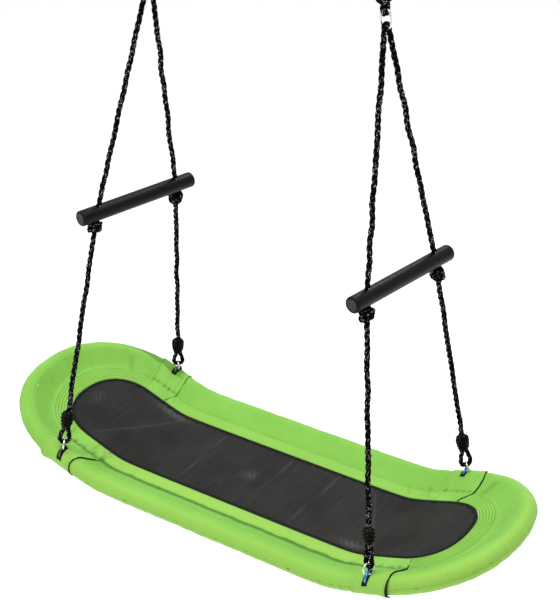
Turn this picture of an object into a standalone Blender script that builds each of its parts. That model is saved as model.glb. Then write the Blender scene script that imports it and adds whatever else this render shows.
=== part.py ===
"""Oval platform swing: a padded steel rim round a woven mat, hung by four ropes from two rings.

Metres, +Z up, +X along the platform. The origin is the middle of the line on which the swing hangs, between
its two top rings. Heights in the design are given above the platform's middle plane, and placed by RIM_Z.
"""

import math

import bmesh
import bpy
from mathutils import Vector

# Platform
LENGTH = 1.524
WIDTH = 0.560
COVER_RADIUS = 0.0285
COVER_THICKNESS = 0.0012
COVER_FOOT = 0.060
LAYER_GAP = 0.00015
FOAM_RADIUS = 0.0262
TUBE_RADIUS = 0.0125
TUBE_WALL = 0.0016
SPIGOT_RADIUS = 0.0105
SPIGOT_LENGTH = 0.040
SPIGOT_CONE = 0.004
GAP = 0.0003
SIDE_INSET = 0.001

RIM_HALF_LENGTH = LENGTH / 2 - COVER_RADIUS
RIM_HALF_WIDTH = WIDTH / 2 - COVER_RADIUS
MAT_HALF_LENGTH = 0.618
MAT_HALF_WIDTH = 0.1425
BEND_START = 0.495
RIM_ROUNDNESS = 2.2
MAT_ROUNDNESS = 2.3
BINDING_WIDTH = 0.011
BINDING_HALF_THICKNESS = 0.0016
MAT_HALF_THICKNESS = 0.0009

# The ends of the platform slope up from RAMP_START, with a soft bend there
RAMP_START = 0.378
RAMP_SLOPE = 0.35
RAMP_BEND = 0.03

# Rope points on the rim
HOOP_X = 0.4805
HOOP_ROD = 0.0035
HOOP_TOP_RADIUS = 0.0395
HOOP_TOP_ANGLE = math.radians(101)
HOOP_FEET = (86, 131)
HOOP_ROOT = TUBE_RADIUS + 0.0012
HOOP_STEP = 0.012
PAD_END = 0.466
PATCH_START = 0.445
PATCH_END_ANGLE = math.radians(82)
PATCH_CLEARANCE = 0.0006
PATCH_THICKNESS = 0.0012
PATCH_REACH = 0.108
PATCH_LAST_ANGLE = 252
LINK_RADIUS = 0.0150
LINK_WIRE = 0.0025
LINK_PLAY = {"left": 0.0009, "right": 0.0042}

# Ropes
ROPE_RADIUS = 0.0060
ROPE_STEP = 0.034
EYE_RADIUS = 0.0130
EYE_LENGTH = 0.0510
EYE_CLEARANCE = 0.0004
STRAND_OFFSET = 0.0063
CLAMP_LENGTH = 0.0540
CLAMP_BORE = 0.0128
CLAMP_PROFILE = ((0.0, 0.0140), (0.006, 0.0152), (0.048, 0.0168), (0.054, 0.0152))
TAIL_LENGTH = 0.0460
KNOT_HALF_WIDTH = 0.0205
KNOT_HALF_HEIGHT = 0.0165
KNOT_CLEARANCE = 0.0032
KNOT_STEPS = 5
KNOT_LIMIT = math.radians(62)

# Handles
HANDLE_X = 0.394
HANDLE_Z = {-1: 0.737, 1: 0.725}
HANDLE_TURN = {-1: math.radians(11.5), 1: math.radians(8)}
HANDLE_HALF_LENGTH = 0.186
HOLE_OFFSET = 0.133
HOLE_RADIUS = 0.0081
GRIP_RADIUS = 0.0205
HANDLE_TUBE_RADIUS = 0.0145
HANDLE_TUBE_WALL = 0.0018
PLUG_FLANGE = 0.0025
PLUG_DEPTH = 0.0180
DRILL_LENGTH = 0.060

# Fittings above the handles
APEX_X = 0.326
APEX_Z = 1.310
CLIP_WIRE = 0.00275
CLIP_HALF_HEIGHT = 0.02125
CLIP_HALF_WIDTH = 0.01225
CLIP_ARM = CLIP_HALF_HEIGHT - CLIP_HALF_WIDTH
GATE_WIRE = 0.00235
GATE_HINGE_GAP = 0.0018
GATE_NOSE_GAP = 0.0006
BIGHT_RADIUS = 0.0093
HANG_LENGTH = 0.175
RING_RADIUS = 0.020
RING_WIRE = 0.00275
HANG_KNOT_AT = 0.0735

SIDES = 10
ROD_SIDES = 6
UP = Vector((0, 0, 1))
ENDS = {"left": -1, "right": 1}
EDGES = {"front": -1, "back": 1}

COLOURS = {
    "steel": ((0.72, 0.74, 0.75), 0.28, 1.0),
    "frame_steel": ((0.60, 0.62, 0.64), 0.35, 1.0),
    "foam": ((0.75, 0.75, 0.72), 0.95, 0.0),
    "green_cloth": ((0.27, 0.63, 0.10), 0.75, 0.0),
    "patch_cloth": ((0.30, 0.68, 0.12), 0.75, 0.0),
    "mesh_mat": ((0.035, 0.033, 0.035), 0.60, 0.0),
    "binding": ((0.02, 0.02, 0.02), 0.80, 0.0),
    "rope": ((0.015, 0.015, 0.015), 0.70, 0.0),
    "clamp": ((0.012, 0.012, 0.012), 0.45, 0.0),
    "grip": ((0.015, 0.015, 0.016), 0.50, 0.0),
    "plug": ((0.09, 0.09, 0.10), 0.55, 0.0),
}


def clear_scene():
    for obj in list(bpy.data.objects):
        bpy.data.objects.remove(obj, do_unlink=True)


def material(slot):
    """The Principled material of a slot, made once."""
    if slot in bpy.data.materials:
        return bpy.data.materials[slot]
    colour, roughness, metallic = COLOURS[slot]
    made = bpy.data.materials.new(slot)
    made.use_nodes = True
    shader = made.node_tree.nodes["Principled BSDF"]
    shader.inputs["Base Color"].default_value = (*colour, 1)
    shader.inputs["Roughness"].default_value = roughness
    shader.inputs["Metallic"].default_value = metallic
    made.diffuse_color = (*colour, 1)
    return made


def empty(name, place):
    """An empty on a joint's axis, which its body's pieces are parented to."""
    made = bpy.data.objects.new(name, None)
    made.location = place
    bpy.context.scene.collection.objects.link(made)
    return made


def add_piece(name, mesh, slot, parent, smooth=True):
    """Links a mesh, given in world coordinates, and hangs it on its body's empty."""
    mesh.materials.append(material(slot))
    if smooth:
        mesh.shade_smooth()
        mesh.set_sharp_from_angle(angle=math.radians(50))
    made = bpy.data.objects.new(name, mesh)
    mesh.transform(parent_offset(parent))
    made.parent = parent
    bpy.context.scene.collection.objects.link(made)
    return made


def parent_offset(parent):
    from_world = parent.matrix_basis.copy()
    from_world.translation = -parent.location
    return from_world


def mesh_from(name, points, faces):
    """A mesh whose faces all point out."""
    mesh = bpy.data.meshes.new(name)
    mesh.from_pydata([tuple(p) for p in points], [], faces)
    bm = bmesh.new()
    bm.from_mesh(mesh)
    bmesh.ops.recalc_face_normals(bm, faces=bm.faces)
    bm.to_mesh(mesh)
    bm.free()
    return mesh


def swept(name, rings, closed=False):
    """A solid swept through rings of points, with flat caps unless it closes on itself."""
    count = len(rings[0])
    points = [p for ring in rings for p in ring]
    faces = []
    for i in range(len(rings) if closed else len(rings) - 1):
        here, there = i * count, (i + 1) % len(rings) * count
        for j in range(count):
            k = (j + 1) % count
            faces.append((here + j, here + k, there + k, there + j))
    if not closed:
        faces.append(tuple(range(count)))
        faces.append(tuple(reversed(range(len(points) - count, len(points)))))
    return mesh_from(name, points, faces)


def hollow(name, outer, inner):
    """A tube wall between two lists of rings, open at both ends."""
    count = len(outer[0])
    points = [p for ring in outer + inner for p in ring]
    offset = len(outer) * count
    faces = []
    for i in range(len(outer) - 1):
        for j in range(count):
            k = (j + 1) % count
            here, there = i * count, (i + 1) * count
            faces.append((here + j, here + k, there + k, there + j))
            faces.append((offset + here + k, offset + here + j, offset + there + j, offset + there + k))
    for i in (0, len(outer) - 1):
        for j in range(count):
            k = (j + 1) % count
            base = i * count
            faces.append((base + j, base + k, offset + base + k, offset + base + j))
    return mesh_from(name, points, faces)


def shell(name, lower, upper, missing=()):
    """A sheet between two grids of points, without the cells listed as missing."""
    rows, columns = len(lower), len(lower[0])
    points = [p for row in lower for p in row] + [p for row in upper for p in row]
    offset = rows * columns
    cells = {(i, j) for i in range(rows - 1) for j in range(columns - 1)} - set(missing)
    faces = []
    for i, j in sorted(cells):
        corners = [(i, j), (i, j + 1), (i + 1, j + 1), (i + 1, j)]
        index = [r * columns + c for r, c in corners]
        faces.append(tuple(index))
        faces.append(tuple(offset + n for n in reversed(index)))
        neighbours = [(i - 1, j), (i, j + 1), (i + 1, j), (i, j - 1)]
        for side, neighbour in enumerate(neighbours):
            if neighbour not in cells:
                a, b = index[side], index[(side + 1) % 4]
                faces.append((a, b, offset + b, offset + a))
    used = sorted({n for face in faces for n in face})
    renumber = {n: k for k, n in enumerate(used)}
    return mesh_from(name, [points[n] for n in used], [tuple(renumber[n] for n in face) for face in faces])


def rise(x):
    """Height of the platform above its middle plane."""
    along = abs(x) - RAMP_START
    return RAMP_SLOPE * (along + math.hypot(along, RAMP_BEND)) / 2


def station(place):
    """A cross-section of the rim: its centre, the directions in and up, and the distance in to the mat.

    A place is ("side", edge, x) along a side, or ("end", end, angle) around an end, where the angle runs
    from -90 degrees at the front edge to 90 at the back.
    """
    kind, sign, value = place
    if kind == "side":
        rim = Vector((value, sign * RIM_HALF_WIDTH, rise(value)))
        mat = Vector((value, sign * MAT_HALF_WIDTH, rise(value)))
    else:
        rim = around_end(sign, value, RIM_HALF_LENGTH, RIM_HALF_WIDTH, RIM_ROUNDNESS)
        mat = around_end(sign, value, MAT_HALF_LENGTH, MAT_HALF_WIDTH, MAT_ROUNDNESS)
    rim.z += RIM_Z
    mat.z += RIM_Z
    inward = (mat - rim).normalized()
    up = (UP - inward * UP.dot(inward)).normalized()
    return rim, inward, up, (mat - rim).length


def around_end(end, angle, half_length, half_width, roundness):
    cos, sin = abs(math.cos(angle)), math.sin(angle)
    x = BEND_START + (half_length - BEND_START) * cos ** (2 / roundness)
    y = math.copysign(half_width * abs(sin) ** (2 / roundness), sin)
    return Vector((end * x, y, rise(x)))


def side_places(edge, start, stop):
    """Sections along one side, closer together at the two soft bends."""
    bend = [RAMP_START - RAMP_BEND, RAMP_START, RAMP_START + RAMP_BEND]
    marks = [0.0, *bend, PATCH_START, PAD_END, BEND_START]
    xs = sorted({-x for x in marks} | set(marks))
    return [("side", edge, x) for x in xs if start - 1e-6 <= x <= stop + 1e-6]


def end_places(end):
    """Sections around one end, from the front edge to the back."""
    quarter = [math.radians(90), PATCH_END_ANGLE] + [math.radians(a) for a in (64, 43, 21)]
    angles = [-a for a in quarter] + [0.0] + quarter[::-1]
    return [("end", end, a) for a in angles]


def circle(place, radius, sides=SIDES):
    rim, inward, up, _ = station(place)
    turns = [2 * math.pi * i / sides for i in range(sides)]
    return [rim + radius * (math.cos(t) * inward + math.sin(t) * up) for t in turns]


def in_section(place, across, height):
    """A point of a cross-section, given inward of and above the tube's centre."""
    rim, inward, up, _ = station(place)
    return rim + across * inward + height * up


def half_loop(end):
    """The frame half at one end: from one side's middle, round the end, to the other side's middle."""
    front = side_places(-1, *sorted((0, end * (BEND_START - SIDE_INSET))))
    back = side_places(1, *sorted((0, end * (BEND_START - SIDE_INSET))))
    if end > 0:
        return front + end_places(end) + back[::-1]
    return front[::-1] + end_places(end) + back


def frame_half(name, end, parent):
    """Bent steel tube, with a socket at one side's middle and a spigot at the other's, for the other half."""
    bore = TUBE_RADIUS - TUBE_WALL
    spigot_bore = SPIGOT_RADIUS - TUBE_WALL
    spigot_edge = -end
    socket = ("side", -spigot_edge, end * GAP)
    shoulder = ("side", spigot_edge, end * GAP)
    past_shoulder = ("side", spigot_edge, end * SPIGOT_CONE)
    tip = ("side", spigot_edge, -end * SPIGOT_LENGTH)
    middle = half_loop(end)[1:-1]
    outer = [circle(p, TUBE_RADIUS) for p in middle]
    inner = [circle(p, bore) for p in middle]
    spigot_outer = [circle(tip, SPIGOT_RADIUS), circle(shoulder, SPIGOT_RADIUS)]
    spigot_outer.append(circle(shoulder, TUBE_RADIUS))
    spigot_inner = [circle(tip, spigot_bore), circle(shoulder, spigot_bore)]
    spigot_inner.append(circle(past_shoulder, bore))
    if spigot_edge == EDGES["front"]:
        outer = spigot_outer + outer + [circle(socket, TUBE_RADIUS)]
        inner = spigot_inner + inner + [circle(socket, bore)]
    else:
        outer = [circle(socket, TUBE_RADIUS)] + outer + spigot_outer[::-1]
        inner = [circle(socket, bore)] + inner + spigot_inner[::-1]
    add_piece(name, hollow(name, outer, inner), "frame_steel", parent)


def foam_sleeve(name, places, parent):
    outer = [circle(p, FOAM_RADIUS) for p in places]
    inner = [circle(p, TUBE_RADIUS + 2 * GAP) for p in places]
    add_piece(name, hollow(name, outer, inner), "foam", parent)


def cover_section(place):
    """Cloth round the foam, drawn down from its top to a flat band of two layers that reaches the mat."""
    reach = station(place)[3] - GAP
    outer_radius, inner_radius = COVER_RADIUS, COVER_RADIUS - COVER_THICKNESS
    outside = LAYER_GAP + COVER_THICKNESS
    wrap = [2 * math.pi * i / SIDES for i in range(2, SIDES)]

    def folded(radius, height):
        start = math.sqrt(radius**2 - height**2)
        round_foam = [(radius * math.cos(t), radius * math.sin(t)) for t in wrap]
        return [(reach, height), (COVER_FOOT, height), *round_foam, (start, -height), (reach, -height)]

    outline = folded(outer_radius, outside) + folded(inner_radius, LAYER_GAP)[::-1]
    return [in_section(place, a, b) for a, b in outline]


def cover(name, places, parent):
    add_piece(name, swept(name, [cover_section(p) for p in places]), "green_cloth", parent)


def patch(name, end, edge, parent):
    """Band of cloth round the rim at a rope point, with a slot over the hoop."""
    side = [x for _, _, x in side_places(edge, PATCH_START, BEND_START)]
    places = [("side", edge, end * x) for x in side[:-1]]
    places += [("end", end, edge * math.radians(90)), ("end", end, edge * PATCH_END_ANGLE)]
    slot_column = side.index(PAD_END)
    lower_radius = COVER_RADIUS + PATCH_CLEARANCE
    flat = LAYER_GAP + COVER_THICKNESS + PATCH_CLEARANCE
    turns = [math.radians(a) for a in range(72, PATCH_LAST_ANGLE + 1, 36)]

    def section(place, thickness):
        radius = lower_radius + thickness
        height = flat + thickness
        points = [(PATCH_REACH, height), (COVER_FOOT + PATCH_CLEARANCE / 2, height)]
        points += [(radius * math.cos(t), radius * math.sin(t)) for t in turns]
        return [in_section(place, a, b) for a, b in points]

    lower = [section(p, 0.0) for p in places]
    upper = [section(p, PATCH_THICKNESS) for p in places]
    flat_points = 2
    missing = [(slot_column, j) for j in range(flat_points, flat_points + 2)]
    add_piece(name, shell(name, lower, upper, missing), "patch_cloth", parent)


def loop_places():
    """Sections right round the platform."""
    front = side_places(-1, -BEND_START + SIDE_INSET, BEND_START - SIDE_INSET)
    back = side_places(1, -BEND_START + SIDE_INSET, BEND_START - SIDE_INSET)
    return front + end_places(1) + back[::-1] + end_places(-1)[::-1]


def binding(parent):
    rings = []
    for place in loop_places():
        near = station(place)[3] + GAP
        far = station(place)[3] + BINDING_WIDTH
        half = BINDING_HALF_THICKNESS
        outline = [(near, -half), (far, -half), (far, half), (near, half)]
        rings.append([in_section(place, a, b) for a, b in outline])
    add_piece("mat_binding", swept("mat_binding", rings, closed=True), "binding", parent)


def mat(parent):
    """Woven mat, from its left tip to its right tip in strips across."""
    half_loops = []
    for edge in (-1, 1):
        angle_places = [p for p in end_places(1) if p[2] * edge > 0]
        angle_places.sort(key=lambda p: abs(p[2]))
        right = angle_places[::-1]
        left = [("end", -1, p[2]) for p in angle_places]
        sides = side_places(edge, -BEND_START + SIDE_INSET, BEND_START - SIDE_INSET)
        half_loops.append(left + sides + right)
    tips = [("end", -1, 0.0), ("end", 1, 0.0)]

    def layer(height):
        def edge_point(place):
            return in_section(place, station(place)[3] + BINDING_WIDTH + GAP, height)

        rows = [(edge_point(f), edge_point(b)) for f, b in zip(*half_loops)]
        return [edge_point(t) for t in tips], rows

    (low_left, low_right), low_rows = layer(-MAT_HALF_THICKNESS)
    (top_left, top_right), top_rows = layer(MAT_HALF_THICKNESS)
    points, faces = [], []

    def add_layer(left_tip, right_tip, rows):
        start = len(points)
        points.append(left_tip)
        points.extend(p for row in rows for p in row)
        points.append(right_tip)
        return start

    low = add_layer(low_left, low_right, low_rows)
    top = add_layer(top_left, top_right, top_rows)
    rows = len(low_rows)
    for base in (low, top):
        first, last, tip = base + 1, base + 1 + 2 * (rows - 1), base + 1 + 2 * rows
        faces.append((base, first, first + 1))
        faces.append((last, tip, last + 1))
        pairs = range(base + 1, base + 1 + 2 * (rows - 1), 2)
        faces += [(n, n + 2, n + 3, n + 1) for n in pairs]
    for offset in (0, 1):
        rim = [0] + [1 + offset + 2 * i for i in range(rows)] + [1 + 2 * rows]
        faces += [(low + a, low + b, top + b, top + a) for a, b in zip(rim, rim[1:])]
    add_piece("seat_mat", mesh_from("seat_mat", points, faces), "mesh_mat", parent)


def smooth_route(points, step):
    """Points along a smooth curve through a route: a Catmull-Rom spline, read about every step."""
    ends = [points[0] * 2 - points[1], *points, points[-1] * 2 - points[-2]]
    found = []
    for before, here, there, after in zip(ends, ends[1:], ends[2:], ends[3:]):
        count = max(1, round((there - here).length / step))
        for i in range(count):
            t = i / count
            linear = (there - before) * t
            square = (2 * before - 5 * here + 4 * there - after) * t**2
            cubic = (3 * here - before - 3 * there + after) * t**3
            found.append(here + 0.5 * (linear + square + cubic))
    return found + [points[-1]]


def rod(name, route, radius, slot, parent, closed=False):
    """A round rod along a route, its sections square to it and turned as little as possible."""
    count = len(route)
    rings = []
    across = None
    for i, point in enumerate(route):
        if closed:
            along = (route[(i + 1) % count] - route[i - 1]).normalized()
        else:
            along = (route[min(i + 1, count - 1)] - route[max(i - 1, 0)]).normalized()
        if across is None:
            across = along.orthogonal().normalized()
        across = (across - along * across.dot(along)).normalized()
        other = along.cross(across)
        turns = [2 * math.pi * k / ROD_SIDES for k in range(ROD_SIDES)]
        rings.append([point + radius * (math.cos(t) * across + math.sin(t) * other) for t in turns])
    add_piece(name, swept(name, rings, closed), slot, parent)


def rope(name, route, parent, step=ROPE_STEP):
    """A rope as a round tube along a smooth curve through its route."""
    data = bpy.data.curves.new(name, "CURVE")
    data.dimensions = "3D"
    data.bevel_depth = ROPE_RADIUS
    data.bevel_resolution = 2
    data.use_fill_caps = True
    points = smooth_route(route, step)
    line = data.splines.new("POLY")
    line.points.add(len(points) - 1)
    for place, point in zip(line.points, points):
        place.co = (*(point - parent.location), 1)
    data.materials.append(material("rope"))
    made = bpy.data.objects.new(name, data)
    made.parent = parent
    bpy.context.scene.collection.objects.link(made)


def turned(profile, centre, axis, sides=12):
    """Rings about an axis: the profile gives (distance along the axis, radius)."""
    across = axis.orthogonal().normalized()
    other = axis.cross(across)
    rings = []
    for along, radius in profile:
        middle = centre + axis * along
        turns = [2 * math.pi * k / sides for k in range(sides)]
        rings.append([middle + radius * (math.cos(t) * across + math.sin(t) * other) for t in turns])
    return rings


def knot(name, centre, axis, parent):
    """The lump of a stopper knot, flattened where the rope goes in and out."""
    profile = []
    for i in range(KNOT_STEPS + 1):
        angle = -KNOT_LIMIT + 2 * KNOT_LIMIT * i / KNOT_STEPS
        along = KNOT_HALF_HEIGHT * math.sin(angle) / math.sin(KNOT_LIMIT)
        profile.append((along, KNOT_HALF_WIDTH * math.cos(angle)))
    add_piece(name, swept(name, turned(profile, centre, axis)), "rope", parent)


def clamp(name, bottom, axis, parent):
    """Barrel pressed over both strands of the rope, wider at its top."""
    bore = [(along, CLAMP_BORE) for along, _ in CLAMP_PROFILE]
    rings_out = turned(CLAMP_PROFILE, bottom, axis)
    rings_in = turned(bore, bottom, axis)
    add_piece(name, hollow(name, rings_out, rings_in), "clamp", parent)


def hoop_point(end, edge, radius, angle):
    place = ("side", edge, end * HOOP_X)
    return in_section(place, radius * math.cos(angle), radius * math.sin(angle))


def hoop(name, end, edge, parent):
    """Steel rod welded to the tube at both ends, arching over the pad through the patch's slot."""
    inner_foot, outer_foot = HOOP_FEET
    polar = [(HOOP_ROOT, inner_foot), (0.024, inner_foot), (0.0325, inner_foot), (0.0382, inner_foot + 7)]
    polar += [(HOOP_TOP_RADIUS, math.degrees(HOOP_TOP_ANGLE)), (0.0390, 112), (0.0365, 124)]
    polar += [(0.0310, outer_foot), (0.0235, outer_foot), (HOOP_ROOT, outer_foot)]
    route = [hoop_point(end, edge, r, math.radians(a)) for r, a in polar]
    rod(name, smooth_route(route, HOOP_STEP), HOOP_ROD, "steel", parent)


def hole_centre(end, edge):
    """Where a rope crosses the handle's middle."""
    return handle_centre(end) + handle_axis(end) * edge * HOLE_OFFSET


def handle_centre(end):
    return Vector((end * HANDLE_X, 0, HANDLE_Z[end] + RIM_Z))


def handle_axis(end):
    return Vector((math.sin(HANDLE_TURN[end]), math.cos(HANDLE_TURN[end]), 0))


def apex(end):
    """The middle of the clip's lower bar, over which the rope is laid, and the pull above it."""
    centre = Vector((end * APEX_X, 0, APEX_Z + RIM_Z))
    middle = (hole_centre(end, -1) + hole_centre(end, 1)) / 2
    return centre, (centre - middle).normalized()


def corner(end_name, end, edge):
    """The places along one lower rope, from the hoop's top to the clamp, and the pull up the rope."""
    top = hoop_point(end, edge, HOOP_TOP_RADIUS, HOOP_TOP_ANGLE)
    hole = hole_centre(end, edge)
    pull = (hole - top).normalized()
    knot_centre = hole - pull * (GRIP_RADIUS + KNOT_HALF_HEIGHT + KNOT_CLEARANCE)
    link_centre = top + pull * (LINK_RADIUS - LINK_WIRE - HOOP_ROD - LINK_PLAY[end_name])
    eye_bottom = link_centre + pull * (LINK_RADIUS - LINK_WIRE - ROPE_RADIUS - EYE_CLEARANCE)
    clamp_bottom = eye_bottom + pull * EYE_LENGTH
    return top, pull, knot_centre, link_centre, eye_bottom, clamp_bottom


def link(name, centre, pull, parent):
    """Welded ring through the hoop and the rope's eye."""
    across = (Vector((1, 0, 0)) - pull * pull.x).normalized()
    turns = [2 * math.pi * i / 16 for i in range(16)]
    route = [centre + LINK_RADIUS * (math.cos(t) * across + math.sin(t) * pull) for t in turns]
    rod(name, route, LINK_WIRE, "steel", parent, closed=True)


def lower_rope(name, places, edge, parent):
    """From the knot down through the clamp, round the eye, and back up beside itself into the clamp."""
    _, pull, knot_centre, _, eye_bottom, clamp_bottom = places
    across = pull.cross(Vector((1, 0, 0))).normalized() * edge
    loop_centre = eye_bottom + pull * EYE_RADIUS
    top = knot_centre - pull * (KNOT_HALF_HEIGHT + GAP)
    clamp_top = clamp_bottom + pull * CLAMP_LENGTH
    route = [top, clamp_top + pull * 0.030, clamp_top + pull * 0.010 - across * 0.003]
    route += [clamp_top - pull * 0.012 - across * STRAND_OFFSET, clamp_bottom - across * STRAND_OFFSET]
    route += [clamp_bottom - pull * 0.014 - across * 0.0085]
    for degrees in (-10, 20, 50, 75, 90, 105, 130, 160, 190):
        turn = math.radians(degrees)
        route.append(loop_centre - EYE_RADIUS * (math.cos(turn) * across + math.sin(turn) * pull))
    route += [clamp_bottom - pull * 0.014 + across * 0.0085, clamp_bottom + across * STRAND_OFFSET]
    route += [clamp_bottom + pull * TAIL_LENGTH + across * STRAND_OFFSET]
    rope(name, route, parent)


def upper_rope(name, end, parent, knots):
    """From one knot up through the handle, over the clip's lower bar, and down to the other knot."""
    centre, pull = apex(end)
    sides = {}
    for edge in (-1, 1):
        hole = hole_centre(end, edge)
        knot_centre, knot_pull = knots[edge]
        start = knot_centre + knot_pull * (KNOT_HALF_HEIGHT + GAP)
        tangent = centre + Vector((0, edge, 0)) * BIGHT_RADIUS
        upper = [hole.lerp(tangent, f) for f in (0.25, 0.5, 0.75, 0.93)]
        sides[edge] = [start, hole, *upper]
    turns = [math.radians(a) for a in (0, 30, 60, 90, 120, 150, 180)]
    over = [centre + BIGHT_RADIUS * (-math.cos(t) * Vector((0, 1, 0)) + math.sin(t) * pull) for t in turns]
    rope(name, sides[-1] + over + sides[1][::-1], parent)


def drill(piece, centre, axis, length, radius):
    """Cuts a round hole through a piece with a Boolean."""
    rings = turned([(-length / 2, radius), (length / 2, radius)], centre, axis)
    cutter = bpy.data.objects.new(piece.name + "_drill", swept("drill", rings))
    cutter.hide_render = True
    cutter.display_type = "WIRE"
    bpy.context.scene.collection.objects.link(cutter)
    cut = piece.modifiers.new("hole", "BOOLEAN")
    cut.operation = "DIFFERENCE"
    cut.solver = "EXACT"
    cut.object = cutter


def handle(end_name, end, parent):
    """Steel tube in a foam grip, drilled for the two ropes, with a plug in each end."""
    axis = handle_axis(end)
    centre = handle_centre(end)
    half = HANDLE_HALF_LENGTH
    bore = HANDLE_TUBE_RADIUS - HANDLE_TUBE_WALL
    specs = (
        ("handle_tube_", HANDLE_TUBE_RADIUS, bore, "frame_steel"),
        ("handle_grip_", GRIP_RADIUS, HANDLE_TUBE_RADIUS + 2 * GAP, "grip"),
    )
    for prefix, outside, inside, slot in specs:
        name = prefix + end_name
        outer = turned([(-half, outside), (half, outside)], centre, axis)
        inner = turned([(-half, inside), (half, inside)], centre, axis)
        made = add_piece(name, hollow(name, outer, inner), slot, parent)
        for edge in (-1, 1):
            hole = hole_centre(end, edge)
            top, _ = apex(end)
            drill(made, hole, (top - hole).normalized(), DRILL_LENGTH, HOLE_RADIUS)
    for edge_name, edge in EDGES.items():
        name = f"handle_plug_{edge_name}_{end_name}"
        out = axis * edge
        stem = bore - GAP * 1.5
        flange = HANDLE_TUBE_RADIUS - GAP
        profile = [(-PLUG_DEPTH, stem - 0.0015), (-PLUG_DEPTH + 0.003, stem), (GAP, stem), (GAP, flange)]
        profile += [(PLUG_FLANGE * 0.6, flange), (PLUG_FLANGE, flange - 0.0018)]
        add_piece(name, swept(name, turned(profile, centre + out * half, out)), "plug", parent)


def clip_place(end, across, up):
    """A point in the clip's plane, given outboard of its middle and above it."""
    centre, pull = apex(end)
    out = (Vector((end, 0, 0)) - pull * pull.x * end).normalized()
    return centre + pull * (CLIP_HALF_HEIGHT + up) + out * across


def clip(end_name, end, parent, gate_parent):
    """Oval snap clip: a bent wire body open on its outboard side, closed by a spring gate."""
    arm = CLIP_ARM

    bottom = [math.radians(a) for a in (0, -30, -60, -90, -120, -150, -180)]
    top = [math.radians(a) for a in (180, 150, 120, 90, 60, 30, 0)]
    wide = CLIP_HALF_WIDTH
    route = [clip_place(end, wide * math.cos(t), -arm + wide * math.sin(t)) for t in bottom]
    route += [clip_place(end, wide * math.cos(t), arm + wide * math.sin(t)) for t in top]
    rod("clip_body_" + end_name, route, CLIP_WIRE, "steel", parent)
    heights = (-arm + GATE_HINGE_GAP, 0, arm - GATE_NOSE_GAP)
    gate = [clip_place(end, wide, height) for height in heights]
    rod("clip_gate_" + end_name, gate, GATE_WIRE, "steel", gate_parent)


def hanging_rope(end_name, end, parent):
    """Doubled rope from the top ring to a knot, with a small eye below it round the clip's upper bar."""
    centre, pull = apex(end)
    side = Vector((0, 1, 0))
    upper_bar = centre + pull * 2 * CLIP_HALF_HEIGHT
    ring_bar = centre + pull * HANG_LENGTH
    knot_centre = centre + pull * HANG_KNOT_AT
    below = knot_centre - pull * (KNOT_HALF_HEIGHT + GAP)
    above = knot_centre + pull * (KNOT_HALF_HEIGHT + GAP)
    turns = [math.radians(a) for a in (0, 30, 60, 90, 120, 150, 180)]
    eye = [below - side * BIGHT_RADIUS * 0.93]
    eye += [upper_bar - BIGHT_RADIUS * (math.cos(t) * side + math.sin(t) * pull) for t in turns]
    eye += [below + side * BIGHT_RADIUS * 0.93]
    rope("hanging_eye_" + end_name, eye, parent)
    loop = [above - side * STRAND_OFFSET, above - side * 0.0066 + pull * 0.03]
    loop += [ring_bar + BIGHT_RADIUS * (-math.cos(t) * side + math.sin(t) * pull) for t in turns]
    loop += [above + side * 0.0066 + pull * 0.03, above + side * STRAND_OFFSET]
    rope("hanging_rope_" + end_name, loop, parent)
    knot("hanging_knot_" + end_name, knot_centre, pull, parent)


def hang_ring(end_name, end, parent):
    """Welded ring, the last piece of the swing: the hook of a beam, branch or frame goes through it."""
    centre, pull = apex(end)
    bar = centre + pull * HANG_LENGTH
    across = Vector((1, 0, 0))
    middle = bar + UP * RING_RADIUS
    turns = [2 * math.pi * i / 16 for i in range(16)]
    route = [middle + RING_RADIUS * (math.sin(t) * across - math.cos(t) * UP) for t in turns]
    rod("hang_ring_" + end_name, route, RING_WIRE, "steel", parent, closed=True)


def platform(parent):
    for end_name, end in ENDS.items():
        frame_half("frame_tube_" + end_name, end, parent)
        foam_sleeve("foam_end_" + end_name, end_places(end), parent)
        cover("cover_end_" + end_name, end_places(end), parent)
    for edge_name, edge in EDGES.items():
        places = side_places(edge, -PAD_END, PAD_END)
        foam_sleeve("foam_side_" + edge_name, places, parent)
        cover("cover_side_" + edge_name, places, parent)
    binding(parent)
    mat(parent)
    for end_name, end in ENDS.items():
        for edge_name, edge in EDGES.items():
            patch(f"rope_patch_{edge_name}_{end_name}", end, edge, parent)
            hoop(f"frame_hoop_{edge_name}_{end_name}", end, edge, parent)


def legs(end_name, end, parent, gate_parent):
    """Everything between the clip and the links at one end of the platform."""
    knots = {}
    for edge_name, edge in EDGES.items():
        where = f"{edge_name}_{end_name}"
        places = corner(end_name, end, edge)
        _, pull, knot_centre, link_centre, _, clamp_bottom = places
        link("link_ring_" + where, link_centre, pull, parent)
        lower_rope("lower_rope_" + where, places, edge, parent)
        clamp("rope_clamp_" + where, clamp_bottom, pull, parent)
        knot("handle_knot_" + where, knot_centre, pull, parent)
        knots[edge] = (knot_centre, pull)
    upper_rope("upper_rope_" + end_name, end, parent, knots)
    handle(end_name, end, parent)
    clip(end_name, end, parent, gate_parent)


RIM_Z = 0.0
RIM_Z = -(apex(1)[0] + apex(1)[1] * HANG_LENGTH).z


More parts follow.
